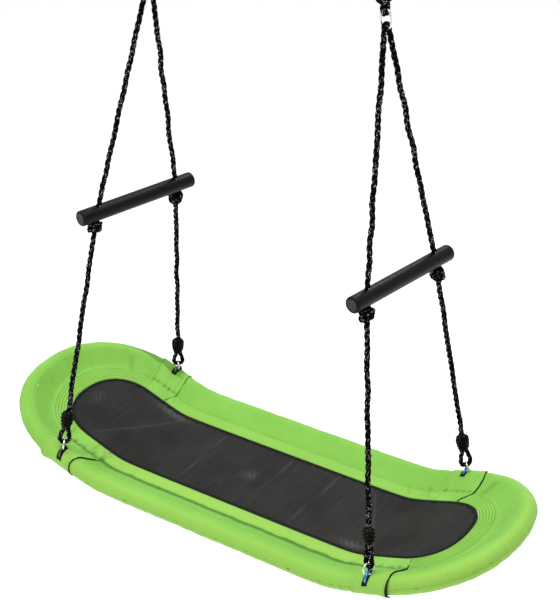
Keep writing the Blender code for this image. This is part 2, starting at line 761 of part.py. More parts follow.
def build():
    clear_scene()
    hangers = empty("hang_line", Vector((0, 0, 0)))
    sling = empty("sling_axis", Vector((0, 0, 0)))
    sling.parent = hangers
    platform_axis = empty("platform_axis", corner("left", -1, -1)[0] * Vector((1, 0, 1)))
    platform(platform_axis)
    for end_name, end in ENDS.items():
        centre, pull = apex(end)
        pivot = centre + pull * (2 * CLIP_HALF_HEIGHT - BIGHT_RADIUS)
        legs_axis = empty("legs_axis_" + end_name, pivot)
        gate_axis = empty("gate_axis_" + end_name, clip_place(end, CLIP_HALF_WIDTH, -CLIP_ARM))
        legs(end_name, end, legs_axis, gate_axis)
        hanging_rope(end_name, end, sling)
        hang_ring(end_name, end, hangers)


build()
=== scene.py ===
"""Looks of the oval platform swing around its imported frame: covers, patches, mat, ropes, fittings and studio.

Everything is in metres in the row frame: +X along the platform, +Y to its back edge, +Z up, the origin on the
line on which the swing hangs. The sizes repeat those of the CAD source.
"""
import math

import bmesh
import bpy
import numpy as np
from mathutils import Matrix, Vector


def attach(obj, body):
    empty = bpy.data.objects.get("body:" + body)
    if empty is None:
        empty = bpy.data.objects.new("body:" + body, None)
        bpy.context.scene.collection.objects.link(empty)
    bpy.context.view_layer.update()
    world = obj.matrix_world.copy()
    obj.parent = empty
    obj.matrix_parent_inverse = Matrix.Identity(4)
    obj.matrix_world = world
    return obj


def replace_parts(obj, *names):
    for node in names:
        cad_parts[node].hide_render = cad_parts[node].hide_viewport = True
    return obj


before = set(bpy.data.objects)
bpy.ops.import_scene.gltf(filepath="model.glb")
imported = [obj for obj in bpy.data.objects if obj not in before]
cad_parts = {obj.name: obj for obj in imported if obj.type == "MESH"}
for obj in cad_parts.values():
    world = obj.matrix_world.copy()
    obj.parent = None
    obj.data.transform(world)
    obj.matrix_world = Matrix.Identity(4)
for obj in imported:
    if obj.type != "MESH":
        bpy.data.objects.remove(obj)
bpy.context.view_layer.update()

UP = Vector((0, 0, 1))
ENDS = {"left": -1, "right": 1}
EDGES = {"front": -1, "back": 1}

# Camera and studio: each light has its place, target, size and power
CAMERA_PLACE = (1.7417, -2.5750, 0.6910)
CAMERA_AZIMUTH, CAMERA_ELEVATION, CAMERA_ROLL = math.radians(33.25), math.radians(27.56), math.radians(0.264)
CAMERA_LENS, CAMERA_SENSOR, CAMERA_RANGE = 88.93, 36.0, (0.1, 200.0)
LIGHTS = {"key_light": ((-2.6, -2.6, 3.4), (0, 0, -1.4), 3.0, 170),
          "rear_light": ((-0.62, 3.05, 2.30), (0.3, 0, -0.8), 1.1, 32),
          "top_light": ((0.8, 0.8, 4.2), (0, 0, -1.4), 4.0, 150)}
WORLD_STRENGTH, FLOOR_GLOW = 0.72, 0.25
FLOOR_HALF, FLOOR_DROP = 60.0, 1.05

# Platform
RIM_Z = -1.48382
RIM_HALF_LENGTH, RIM_HALF_WIDTH, RIM_ROUNDNESS = 0.7335, 0.2515, 2.2
MAT_HALF_LENGTH, MAT_HALF_WIDTH, MAT_ROUNDNESS = 0.618, 0.1425, 2.3
BEND_START, PAD_END = 0.495, 0.466
RAMP_START, RAMP_SLOPE, RAMP_BEND = 0.378, 0.35, 0.03
TUBE_RADIUS = 0.0125

# Cloth: the cover's section, its stitched rows from the mat's edge, and how far a fold may sink
COVER_RADIUS, COVER_FOOT, CLOTH = 0.0285, 0.060, 0.0012
LIE = 0.00135
LEAVE = math.acos(COVER_RADIUS / COVER_FOOT)
COVER_LAST, SHEET_ROWS, UNDER_ROWS = math.radians(340), 22, 12
BAND_ANGLE, UNDER_ANGLE = 0.01, 6.2
STITCH_ROWS = (0.0045, 0.0125, 0.0205, 0.0285, 0.0365, 0.0445)
STITCH, STITCH_GAP, STITCH_RADIUS = 0.0036, 0.0018, 0.00045
DEEPEST = 0.0009
OUTER_SEAM = 183
BINDING_WIDTH, BINDING_HALF_HEIGHT, MAT_THICKNESS = 0.011, 0.0019, 0.0016

# Heights of what stands out of or sinks into the covers: round the tube, on the band, and at the band's foot
SLACK_BROAD, SLACK_FINE, GATHER = 0.0007, 0.00045, 0.00055
SEAM_GROOVE, TUCK, SEAM_SWELL = 0.0006, 0.0014, 0.0007
PUCKER, WAVE, ROW_GROOVE, ROW_SWELL = 0.0007, 0.0006, 0.00055, 0.00040
FOOT_SWELL, FOOT_GROOVE = 0.0020, 0.0010

# How finely the pieces are drawn: rows and columns, and the step and sides of a rod
TUBE_ROWS, PATCH_ROWS, BINDING_GRID, MAT_GRID, CLAMP_GRID = 56, (26, 60), (720, 16), (340, 56), (96, 48)
ROD_STEP, ROD_SIDES = 0.002, 20

# Rope patches: their ends along X, the angle at which they stop, their slots' angles, and their folded hems
PATCH_START, PATCH_END = 0.445, 0.535
PATCH_LAST, PATCH_LIFT, PATCH_HEM = math.radians(252), 0.0012, 0.006
SLOT_ARC = {-1: (math.radians(82), math.radians(168)), 1: (math.radians(54), math.radians(142))}
SLOT_HALF, LINING_HALF = 0.0075, 0.0135

# Where a patch's right edge runs on along the rim: how far at the band and behind the tube, from and to which
# angle round the tube, and how suddenly
EDGE_RUN = {"front_left": (0.034, 0.0, 150, 25, 1.5), "front_right": (0.030, 0.0, 140, 25, 2.0),
            "back_right": (0.020, -0.007, 150, 38, 1.0), "back_left": (0.009, 0.0, 150, 38, 1.0)}

# Hoops: the bow's points as degrees round the rim's centre and metres from it, before and after its top
HOOP_X, HOOP_ROD, HOOP_TOP = 0.4805, 0.0035, (0.0395, math.radians(101))
HOOP_BOW = {
    -1: ([(86, 0.0240), (86, 0.0325), (93, 0.0382)],
         [(112, 0.0388), (126, 0.0362), (139, 0.0325), (147, 0.0280), (148, 0.0220)]),
    1: ([(72, 0.0220), (73, 0.0285), (81, 0.0335), (91, 0.0378)],
        [(112, 0.0386), (124, 0.0360), (131, 0.0310), (131, 0.0235)]),
}

# Link rings, with how they and the eyes are turned about the rope, in degrees from square to the rim
LINK_RADIUS, LINK_WIRE = 0.0150, 0.0025
LINK_PLAY = {"left": 0.0009, "right": 0.0042}
RING_TURN = {"front_left": -50, "back_left": -50, "back_right": -46, "front_right": 60}

# Ropes, eyes and knots; a knot's turns have their tilt, relative size and place along the rope
ROPE, ROPE_STEP, ROPE_SIDES, ROPE_GIRTH = 0.0060, 0.0022, 24, 0.038
STRANDS, STRAND_OFF, STRAND_RADIUS, LAY = 3, 0.57, 0.65, 0.060
EYE_RADIUS, EYE_LENGTH, EYE_CLEARANCE, EYE_ROPE = 0.0130, 0.0510, 0.0004, ROPE * 0.92
KNOT_HALF_WIDTH, KNOT_HALF_HEIGHT, KNOT_CLEARANCE = 0.0205, 0.0165, 0.0032
KNOT_ROPE, KNOT_CORE, KNOT_CORE_HALF, ROPE_IN_KNOT = ROPE * 0.97, ROPE * 1.1, 0.011, 0.008
KNOT_TURNS = ((math.radians(24), 0.96, 0.0066), (math.radians(-28), 0.96, -0.0046),
              (math.radians(44), 0.84, 0.0010))

# Clamps: the barrel's outline as parts of its length and radii, and how far up the leg each is and how long
CLAMP_BARREL = ((0.0, 0.0098), (0.10, 0.0124), (0.30, 0.0146), (0.55, 0.0160), (0.78, 0.0160), (0.90, 0.0146),
                (0.97, 0.0112), (1.0, 0.0078))
CLAMP_RIB, CLAMP_RIB_DEPTH, CLAMP_LEAN = 0.0096, 0.0042, 0.0030
CLAMP_FIT = {"front_left": (-0.0050, 0.047), "back_left": (-0.0035, 0.052), "back_right": (0.0020, 0.049),
             "front_right": (0.0090, 0.042)}

# Handles, with an end plug's outline as distances out of the handle's end and radii
HANDLE_X = 0.394
HANDLE_Z = {-1: 0.737 + RIM_Z, 1: 0.725 + RIM_Z}
HANDLE_TURN = {-1: math.radians(11.5), 1: math.radians(8)}
HANDLE_HALF, HOLE_OFFSET, HOLE_RADIUS = 0.186, 0.133, 0.0072
GRIP_RADIUS, GRIP_BORE, GRIP_LIP = 0.0205, 0.0151, 0.0030
PLUG_OUTLINE = [(-0.018, 0.0008), (-0.018, 0.0105), (-0.015, 0.0124), (0.0002, 0.0124), (0.0002, 0.0146),
                (0.0016, 0.0146), (0.0024, 0.0141), (0.0028, 0.0132), (0.0028, 0.0116), (0.0020, 0.0108),
                (0.0018, 0.0096), (0.0018, 0.0028), (0.0022, 0.0022), (0.0024, 0.0008)]

# What is above the handles
APEX_X, APEX_Z = 0.326, 1.310 + RIM_Z
CLIP_WIRE, CLIP_HALF_HEIGHT, CLIP_HALF_WIDTH = 0.00275, 0.02125, 0.01225
GATE_WIRE, GATE_LOW, GATE_HIGH, PIN_HALF, PIN_RADIUS = 0.00225, 0.0018, 0.0006, 0.0032, 0.0009
BIGHT_RADIUS, HANG_LENGTH, HANG_KNOT_AT = 0.0093, 0.175, 0.0735
RING_RADIUS, RING_WIRE = 0.020, 0.00275


# ---------------------------------------------------------------- camera, light and floor

def add_camera():
    level = math.cos(CAMERA_ELEVATION)
    back = Vector((math.sin(CAMERA_AZIMUTH) * level, -math.cos(CAMERA_AZIMUTH) * level,
                   math.sin(CAMERA_ELEVATION)))
    right = (-back).cross(UP).normalized()
    up = right.cross(-back)
    tilted_right = math.cos(CAMERA_ROLL) * right + math.sin(CAMERA_ROLL) * up
    tilted_up = math.cos(CAMERA_ROLL) * up - math.sin(CAMERA_ROLL) * right
    data = bpy.data.cameras.new("camera")
    data.lens, data.sensor_width, data.sensor_fit = CAMERA_LENS, CAMERA_SENSOR, "HORIZONTAL"
    data.clip_start, data.clip_end = CAMERA_RANGE
    camera = bpy.data.objects.new("camera", data)
    bpy.context.scene.collection.objects.link(camera)
    rows = [(tilted_right[i], tilted_up[i], back[i], CAMERA_PLACE[i]) for i in range(3)]
    camera.matrix_world = Matrix([*rows, (0, 0, 0, 1)])
    bpy.context.scene.camera = camera


def add_studio():
    scene = bpy.context.scene
    world = bpy.data.worlds.new("studio")
    world.use_nodes = True
    background = world.node_tree.nodes["Background"].inputs
    background["Color"].default_value = (1, 1, 1, 1)
    background["Strength"].default_value = WORLD_STRENGTH
    scene.world = world
    scene.view_settings.view_transform = "Standard"
    scene.view_settings.look = "None"
    for name, (place, target, size, power) in LIGHTS.items():
        data = bpy.data.lights.new(name, "AREA")
        data.size, data.energy = size, power
        light = bpy.data.objects.new(name, data)
        light.visible_camera = False
        light.location = place
        light.rotation_euler = (Vector(target) - Vector(place)).to_track_quat("-Z", "Y").to_euler()
        scene.collection.objects.link(light)
    mesh = bpy.data.meshes.new("floor")
    corners = [(x * FLOOR_HALF, y * FLOOR_HALF, RIM_Z - FLOOR_DROP)
               for x, y in ((-1, -1), (1, -1), (1, 1), (-1, 1))]
    mesh.from_pydata(corners, [], [(0, 1, 2, 3)])
    floor = bpy.data.objects.new("floor", mesh)
    made = Material("floor", (0.93, 0.93, 0.93), 0.9, specular=0.0)
    made.inputs["Emission Color"].default_value = (1, 1, 1, 1)
    made.inputs["Emission Strength"].default_value = FLOOR_GLOW
    mesh.materials.append(made.data)
    scene.collection.objects.link(floor)


# ---------------------------------------------------------------- materials

class Material:
    """A Principled material, with short calls for building its nodes."""

    def __init__(self, name, colour, roughness, metallic=0.0, specular=0.5):
        self.data = bpy.data.materials.new(name)
        self.data.use_nodes = True
        self.data.diffuse_color = (*colour, 1)
        self.tree = self.data.node_tree
        self.inputs = self.tree.nodes["Principled BSDF"].inputs
        self.inputs["Base Color"].default_value = (*colour, 1)
        self.inputs["Roughness"].default_value = roughness
        self.inputs["Metallic"].default_value = metallic
        self.inputs["Specular IOR Level"].default_value = specular

    def node(self, kind, **settings):
        made = self.tree.nodes.new(kind)
        for name, value in settings.items():
            setattr(made, name, value)
        return made

    def fill(self, sockets, values):
        """Links each output and sets each number or colour on its socket."""
        for socket, value in zip(sockets, values):
            if isinstance(value, bpy.types.NodeSocket):
                self.tree.links.new(value, socket)
            else:
                socket.default_value = (*value, 1) if isinstance(value, tuple) else value

    def drive(self, name, value):
        self.tree.links.new(value, self.inputs[name])

    def vary_roughness(self, value, low, span):
        self.drive("Roughness", self.math("MULTIPLY_ADD", value, span, low))

    def math(self, operation, *values, clamp=False):
        made = self.node("ShaderNodeMath", operation=operation, use_clamp=clamp)
        self.fill(made.inputs, values)
        return made.outputs[0]

    def scaled(self, coordinates, scale, turn=0.0):
        made = self.node("ShaderNodeMapping")
        made.inputs["Scale"].default_value = scale
        made.inputs["Rotation"].default_value = (0, 0, math.radians(turn))
        self.tree.links.new(coordinates, made.inputs["Vector"])
        return made.outputs["Vector"]

    def noise(self, coordinates, scale, detail=2.0, roughness=0.5):
        made = self.node("ShaderNodeTexNoise")
        sockets = [made.inputs[name] for name in ("Vector", "Scale", "Detail", "Roughness")]
        self.fill(sockets, (coordinates, scale, detail, roughness))
        return made.outputs["Fac"]

    def cells(self, coordinates, scale, randomness=1.0):
        made = self.node("ShaderNodeTexVoronoi")
        sockets = [made.inputs[name] for name in ("Vector", "Scale", "Randomness")]
        self.fill(sockets, (coordinates, scale, randomness))
        return made.outputs["Distance"]

    def ramp(self, value, *stops):
        made = self.node("ShaderNodeValToRGB")
        elements = made.color_ramp.elements
        while len(elements) < len(stops):
            elements.new(0.5)
        for element, (place, colour) in zip(elements, stops):
            element.position = place
            element.color = (*colour, 1)
        self.tree.links.new(value, made.inputs["Fac"])
        return made.outputs["Color"]

    def mix(self, factor, first, second):
        made = self.node("ShaderNodeMix", data_type="RGBA")
        self.fill((made.inputs[0], made.inputs[6], made.inputs[7]), (factor, first, second))
        return made.outputs[2]

    def bump(self, height, distance, strength, under=None):
        made = self.node("ShaderNodeBump")
        sockets = [made.inputs[name] for name in ("Height", "Distance", "Strength", "Normal")]
        self.fill(sockets, (height, distance, strength, under)[: 3 if under is None else 4])
        return made.outputs["Normal"]

    def object_coordinates(self):
        return self.node("ShaderNodeTexCoord").outputs["Object"]

    def cloth_coordinates(self):
        """Metres along and across the cloth."""
        return self.node("ShaderNodeUVMap", uv_map="cloth").outputs["UV"]

    def attribute(self, name):
        return self.node("ShaderNodeAttribute", attribute_name=name).outputs["Fac"]

    def weave(self, period):
        """Height of a plain weave of two crossing threads."""
        threads = self.node("ShaderNodeSeparateXYZ")
        turns = (2 * math.pi / period,) * 3
        self.tree.links.new(self.scaled(self.cloth_coordinates(), turns), threads.inputs[0])
        along = self.math("SINE", threads.outputs[0])
        across = self.math("SINE", threads.outputs[1])
        return self.math("MULTIPLY_ADD", self.math("MULTIPLY", along, across), 0.5, 0.5)


def grey(value):
    return (value,) * 3


def green_cloth(name, base, deep, light, pale_and_painted_light):
    """Coated plain-weave cloth: fine weave, uneven tone, painted shade in its creases, a paler band with
    painted light on the tube's outer side, and a soft sheen.
    """
    m = Material(name, base, 0.55, specular=0.20)
    where = m.object_coordinates()
    tone = m.ramp(m.noise(where, 7.0, 3.0), (0.30, deep), (0.50, base), (0.72, light))
    fibre = m.noise(m.scaled(m.cloth_coordinates(), (1400, 500, 1)), 1.0)
    tone = m.mix(0.10, tone, m.ramp(fibre, (0.3, (0.10, 0.30, 0.02)), (0.7, (0.62, 0.90, 0.30))))
    # Paler band, and painted light on the outer side of the tube
    tone = m.mix(m.attribute("pale_and_painted_light"), tone, pale_and_painted_light)
    # Painted shade: creases, grooves, folds and the band's foot darken toward this dark green
    tone = m.mix(m.attribute("painted_shading"), tone, (0.035, 0.150, 0.008))
    m.drive("Base Color", tone)
    m.vary_roughness(m.noise(where, 40.0), 0.46, 0.16)
    fine = m.bump(m.weave(0.0011), 0.00025, 0.35)
    m.drive("Normal", m.bump(m.noise(where, 46.0, 3.0, 0.55), 0.0011, 0.30, fine))
    m.inputs["Sheen Weight"].default_value = 0.05
    m.inputs["Sheen Roughness"].default_value = 0.45
    return m.data


def mat_cloth():
    """Woven flat yarn with dust in the weave, paler streaks along the yarn, and painted highlights along its
    folds and over its dusty smudges.
    """
    m = Material("woven_mat", (0.018, 0.017, 0.017), 0.5, specular=0.07)
    where = m.object_coordinates()
    streaks = m.noise(m.scaled(where, (150, 7, 7), 17), 1.0, 3.0, 0.6)
    tone = m.ramp(m.noise(where, 9.0, 3.0), (0.35, (0.0145, 0.0142, 0.0135)), (0.68, (0.0225, 0.022, 0.021)))
    streaked = m.math("MULTIPLY", m.math("SUBTRACT", streaks, 0.52, clamp=True), 1.6, clamp=True)
    tone = m.mix(streaked, tone, (0.048, 0.047, 0.045))
    speck = m.math("LESS_THAN", m.cells(where, 95), 0.055)
    dusty = m.math("GREATER_THAN", m.noise(where, 22.0), 0.58)
    tone = m.mix(m.math("MULTIPLY", speck, dusty), tone, (0.17, 0.165, 0.16))
    # Painted highlight: fold marks and smudges lighten toward this grey
    m.drive("Base Color", m.mix(m.attribute("painted_shading"), tone, (0.125, 0.122, 0.116)))
    m.vary_roughness(streaks, 0.34, 0.3)
    fine = m.bump(m.weave(0.0022), 0.0004, 0.45)
    m.drive("Normal", m.bump(streaks, 0.0006, 0.25, fine))
    return m.data


def tape_cloth(name, colour, light):
    """Ribbed woven tape."""
    m = Material(name, colour, 0.75, specular=0.06)
    ribs = m.weave(0.0016)
    m.drive("Base Color", m.ramp(ribs, (0.2, colour), (0.9, light)))
    m.drive("Normal", m.bump(ribs, 0.0004, 0.6))
    m.vary_roughness(m.noise(m.object_coordinates(), 120.0), 0.62, 0.2)
    return m.data


def rope_fibre():
    """Black braided strands with short pale flecks that run round with the lay."""
    m = Material("rope_fibre", grey(0.002), 0.6, specular=0.02)
    cloth = m.cloth_coordinates()
    flecks = m.cells(m.scaled(m.scaled(cloth, (1, 1, 1), 38), (150, 330, 1)), 1.0, 0.7)
    fleck = m.ramp(flecks, (0.24, grey(1)), (0.36, grey(0)))
    some = m.ramp(m.noise(m.scaled(cloth, (70, 90, 1)), 1.0), (0.42, grey(0)), (0.54, grey(1)))
    threads = m.noise(m.scaled(cloth, (260, 1500, 1)), 1.0)
    tone = m.ramp(threads, (0.35, grey(0.0005)), (0.75, grey(0.004)))
    strength = m.math("MULTIPLY", m.math("MULTIPLY", fleck, some), 0.9)
    m.drive("Base Color", m.mix(strength, tone, (0.46, 0.46, 0.45)))
    braid = m.node("ShaderNodeTexWave", wave_type="BANDS", bands_direction="DIAGONAL")
    sockets = [braid.inputs[name] for name in ("Vector", "Scale", "Distortion")]
    m.fill(sockets, (m.scaled(cloth, (190, 190, 1)), 1.0, 0.6))
    fine = m.bump(braid.outputs["Fac"], 0.0006, 0.5)
    m.drive("Normal", m.bump(threads, 0.0003, 0.5, fine))
    m.vary_roughness(threads, 0.42, 0.3)
    return m.data


def steel(name, colour, roughness, scratches):
    """Plated steel with fine scratches and an uneven polish."""
    m = Material(name, colour, roughness, metallic=1.0)
    where = m.object_coordinates()
    cloudy = m.noise(where, 90.0, 3.0)
    dull = tuple(c * 0.6 for c in colour)
    m.drive("Base Color", m.mix(0.25, colour, m.ramp(cloudy, (0.3, dull), (0.7, colour))))
    m.vary_roughness(cloudy, roughness - 0.08, 0.16)
    lines = m.noise(m.scaled(where, (60, 60, 900)), 1.0)
    m.drive("Normal", m.bump(lines, 0.0002, scratches))
    return m.data


def moulded(name, colour, light, roughness, grain, depth, specular):
    """Moulded plastic or foam skin with a fine grain."""
    m = Material(name, colour, roughness, specular=specular)
    where = m.object_coordinates()
    m.drive("Base Color", m.ramp(m.noise(where, 30.0, 3.0), (0.35, colour), (0.8, light)))
    skin = m.noise(where, grain, 3.0, 0.6)
    m.vary_roughness(skin, roughness - 0.1, 0.2)
    m.drive("Normal", m.bump(skin, depth, 0.5))
    return m.data


def foam_cells():
    """Pale closed-cell foam."""
    m = Material("foam_cells", (0.75, 0.75, 0.72), 0.9, specular=0.2)
    cells = m.cells(m.object_coordinates(), 420)
    m.drive("Base Color", m.ramp(cells, (0.1, (0.55, 0.55, 0.52)), (0.6, (0.80, 0.80, 0.77))))
    m.drive("Normal", m.bump(cells, 0.0008, 0.6))
    return m.data


def make_materials():
    # Paler green of the band and of the painted light on the tube's outer side
    pale_and_painted_light = (0.262, 0.505, 0.072)
    return {
        "green": green_cloth("green_cloth_woven", (0.164, 0.424, 0.045), (0.144, 0.392, 0.035),
                             (0.187, 0.458, 0.057), pale_and_painted_light),
        "patch": green_cloth("patch_cloth_woven", (0.194, 0.464, 0.056), (0.174, 0.436, 0.046),
                             (0.215, 0.490, 0.068), pale_and_painted_light),
        "thread": tape_cloth("thread", (0.095, 0.300, 0.026), (0.150, 0.400, 0.046)),
        "mat": mat_cloth(),
        # Black tape: the mat's binding and its stitches, also used for the patches' painted edge shadows and
        # the shade under their slots
        "tape": tape_cloth("black_tape", (0.006, 0.008, 0.007), (0.020, 0.022, 0.020)),
        # Darker green of the faint painted shade along the back-left patch's edge
        "green_tape": tape_cloth("green_tape", (0.05, 0.24, 0.02), (0.09, 0.34, 0.04)),
        "rope": rope_fibre(),
        "steel": steel("plated_steel", (0.78, 0.82, 0.80), 0.16, 0.10),
        # The hoops' one steel in two painted copies: blue as a painted reflection on the right hoops, dark as
        # painted shade on the left hoops
        "steel_painted_blue": steel("steel_painted_blue_reflection", (0.09, 0.27, 0.62), 0.20, 0.08),
        "steel_painted_dark": steel("steel_painted_dark", (0.10, 0.11, 0.11), 0.22, 0.08),
        "tube": steel("tube_steel", (0.60, 0.62, 0.64), 0.36, 0.30),
        "clamp": moulded("clamp_plastic", grey(0.001), grey(0.002), 0.18, 500, 0.0001, 0.08),
        "grip": moulded("grip_foam", grey(0.0015), grey(0.003), 0.36, 900, 0.0001, 0.14),
        "plug": moulded("plug_plastic", (0.022, 0.021, 0.023), (0.032, 0.031, 0.034), 0.50, 700, 0.0002,
                        0.25),
        "foam": foam_cells(),
    }


# ---------------------------------------------------------------- meshes

def placed(name, mesh, material, body="platform"):
    """A piece with its material and finish, riding on a body."""
    mesh.shade_smooth()
    mesh.materials.append(MATERIALS[material])
    made = bpy.data.objects.new(name, mesh)
    bpy.context.scene.collection.objects.link(made)
    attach(made, body)
    return made


def grid_faces(rows, columns, around=False, closed=False):
    """Faces of a grid of points: rows along, columns across, closed across or along if asked."""
    faces = []
    for i in range(rows if closed else rows - 1):
        here, there = i * columns, (i + 1) % rows * columns
        for j in range(columns if around else columns - 1):
            k = (j + 1) % columns
            faces.append((here + j, here + k, there + k, there + j))
    return faces


def loop_points(mesh):
    corners = np.empty(len(mesh.loops), np.int32)
    mesh.loops.foreach_get("vertex_index", corners)
    return corners


def write_cloth(mesh, values):
    """Writes metres along and across the cloth for each corner of each face."""
    layer = mesh.uv_layers.new(name="cloth")
    layer.data.foreach_set("uv", values.astype(np.float32).ravel())


def sheet_mesh(name, points, cloth, skip=None, around=False, marks=None):
    """A surface through a grid of points, with its cloth coordinates and named marks of 0 to 1."""
    faces = grid_faces(*points.shape[:2], around)
    if skip is not None:
        faces = [face for face, left_out in zip(faces, skip.ravel()) if not left_out]
    mesh = bpy.data.meshes.new(name)
    mesh.from_pydata(points.reshape(-1, 3).tolist(), [], faces)
    write_cloth(mesh, cloth.reshape(-1, 2)[loop_points(mesh)])
    for mark, values in (marks or {}).items():
        layer = mesh.attributes.new(mark, "FLOAT", "POINT")
        layer.data.foreach_set("value", np.clip(values, 0, 1).astype(np.float32).ravel())
    return mesh


def rings(line, radii, angle, first, second):
    """Points at radii and angles round each point of a line, in the plane of two directions."""
    spread = np.cos(angle)[..., None] * first + np.sin(angle)[..., None] * second
    return line[:, None] + radii[..., None] * spread


def capped_mesh(name, points, tips):
    """A solid of rings of points, fanned to a tip at each end, or closed on itself if it has no tips."""
    rows, columns = points.shape[:2]
    faces = grid_faces(rows, columns, True, tips is None)
    flat = points.reshape(-1, 3)
    if tips is not None:
        low, last = rows * columns, (rows - 1) * columns
        flat = np.concatenate([flat, tips])
        for j in range(columns):
            k = (j + 1) % columns
            faces.append((k, j, low))
            faces.append((low + 1, last + j, last + k))
    mesh = bpy.data.meshes.new(name)
    mesh.from_pydata(flat.tolist(), [], faces)
    return mesh


def clean(mesh, weld=False, solid=True):
    """Drops loose points, welds a seam if asked, and turns a solid's faces outward."""
    bm = bmesh.new()
    bm.from_mesh(mesh)
    bmesh.ops.delete(bm, geom=[v for v in bm.verts if not v.link_faces], context="VERTS")
    if weld:
        bmesh.ops.remove_doubles(bm, verts=bm.verts, dist=1e-5)
    if solid:
        bmesh.ops.recalc_face_normals(bm, faces=bm.faces)
    bm.to_mesh(mesh)
    bm.free()
    return mesh


def apply_modifiers(obj):
    graph = bpy.context.evaluated_depsgraph_get()
    made = bpy.data.meshes.new_from_object(obj.evaluated_get(graph))
    old = obj.data
    obj.modifiers.clear()
    obj.data = made
    bpy.data.meshes.remove(old)


def thicken(obj, thickness, offset=-1.0):
    """Gives a sheet its thickness."""
    made = obj.modifiers.new("thickness", "SOLIDIFY")
    made.thickness, made.offset = thickness, offset
    made.use_even_offset = True
    apply_modifiers(obj)


def smoothstep(value, low, high):
    part = np.clip((value - low) / (high - low), 0, 1)
    return part * part * (3 - 2 * part)


def bell(value, centre, width):
    return np.exp(-((value - centre) / width) ** 2)


def ripples(s, t, seed, waves, along, across):
    """Smooth random waves, about -1 to 1, of roughly these lengths along s and t."""
    draw = np.random.default_rng(seed)
    total = 0.0
    for _ in range(waves):
        k_s = 2 * math.pi / along * draw.uniform(0.55, 1.45)
        k_t = 2 * math.pi / across * draw.uniform(-1.2, 1.2)
        total = total + np.cos(k_s * s + k_t * t + draw.uniform(0, 2 * math.pi))
    return total / math.sqrt(waves) * 0.9


# ---------------------------------------------------------------- the rim's course

def rise(x):
    along = np.abs(x) - RAMP_START
    return RAMP_SLOPE * (along + np.hypot(along, RAMP_BEND)) / 2


def quarter(half_length, half_width, roundness):
    """The front right quarter of an oval course, from the side's middle to the end's tip."""
    side = np.linspace(0, BEND_START, 400, endpoint=False)
    angle = np.linspace(-math.pi / 2, 0, 800)
    end_x = BEND_START + (half_length - BEND_START) * np.abs(np.cos(angle)) ** (2 / roundness)
    end_y = -half_width * np.abs(np.sin(angle)) ** (2 / roundness)
    x = np.concatenate([side, end_x])
    y = np.concatenate([np.full(len(side), -half_width), end_y])
    return np.stack([x, y, rise(x) + RIM_Z], axis=1)


def lengths_along(line):
    """The distance along a line of points at each of them."""
    return np.concatenate([[0], np.cumsum(np.linalg.norm(np.diff(line, axis=0), axis=1))])


QUARTER_RIM = quarter(RIM_HALF_LENGTH, RIM_HALF_WIDTH, RIM_ROUNDNESS)
QUARTER_MAT = quarter(MAT_HALF_LENGTH, MAT_HALF_WIDTH, MAT_ROUNDNESS)
QUARTER_S = lengths_along(QUARTER_RIM)
QUARTER = float(QUARTER_S[-1])
LOOP = 4 * QUARTER


def s_at(edge, x):
    """Length along the rim, from the front side's middle by the right end, to this x on the front or back."""
    along = math.copysign(float(np.interp(abs(x), QUARTER_RIM[:, 0], QUARTER_S)), x)
    return along if edge < 0 else LOOP / 2 - along


def rim_at(s):
    """Rim centre, direction in, direction up and distance in to the mat, at lengths along the rim."""
    s = np.asarray(s, float) % LOOP
    number = np.minimum(np.floor(s / QUARTER).astype(int), 3)
    within = s - number * QUARTER
    along = np.where(number % 2 == 0, within, QUARTER - within)
    sign_x = np.where((number == 0) | (number == 1), 1.0, -1.0)
    sign_y = np.where((number == 0) | (number == 3), 1.0, -1.0)

    def read(table):
        found = np.stack([np.interp(along, QUARTER_S, table[:, k]) for k in range(3)], axis=-1)
        found[..., 0] *= sign_x
        found[..., 1] *= sign_y
        return found

    rim = read(QUARTER_RIM)
    gap = read(QUARTER_MAT) - rim
    reach = np.linalg.norm(gap, axis=-1)
    inward = gap / reach[..., None]
    up = np.array(UP) - inward * inward[..., 2:3]
    up /= np.linalg.norm(up, axis=-1)[..., None]
    return rim, inward, up, reach


def in_section(s, across, height):
    """Points inward of and above the tube's centre, each at its length along the rim."""
    rim, inward, up, _ = rim_at(s)
    return rim + across[..., None] * inward + height[..., None] * up


# ---------------------------------------------------------------- covers and patches

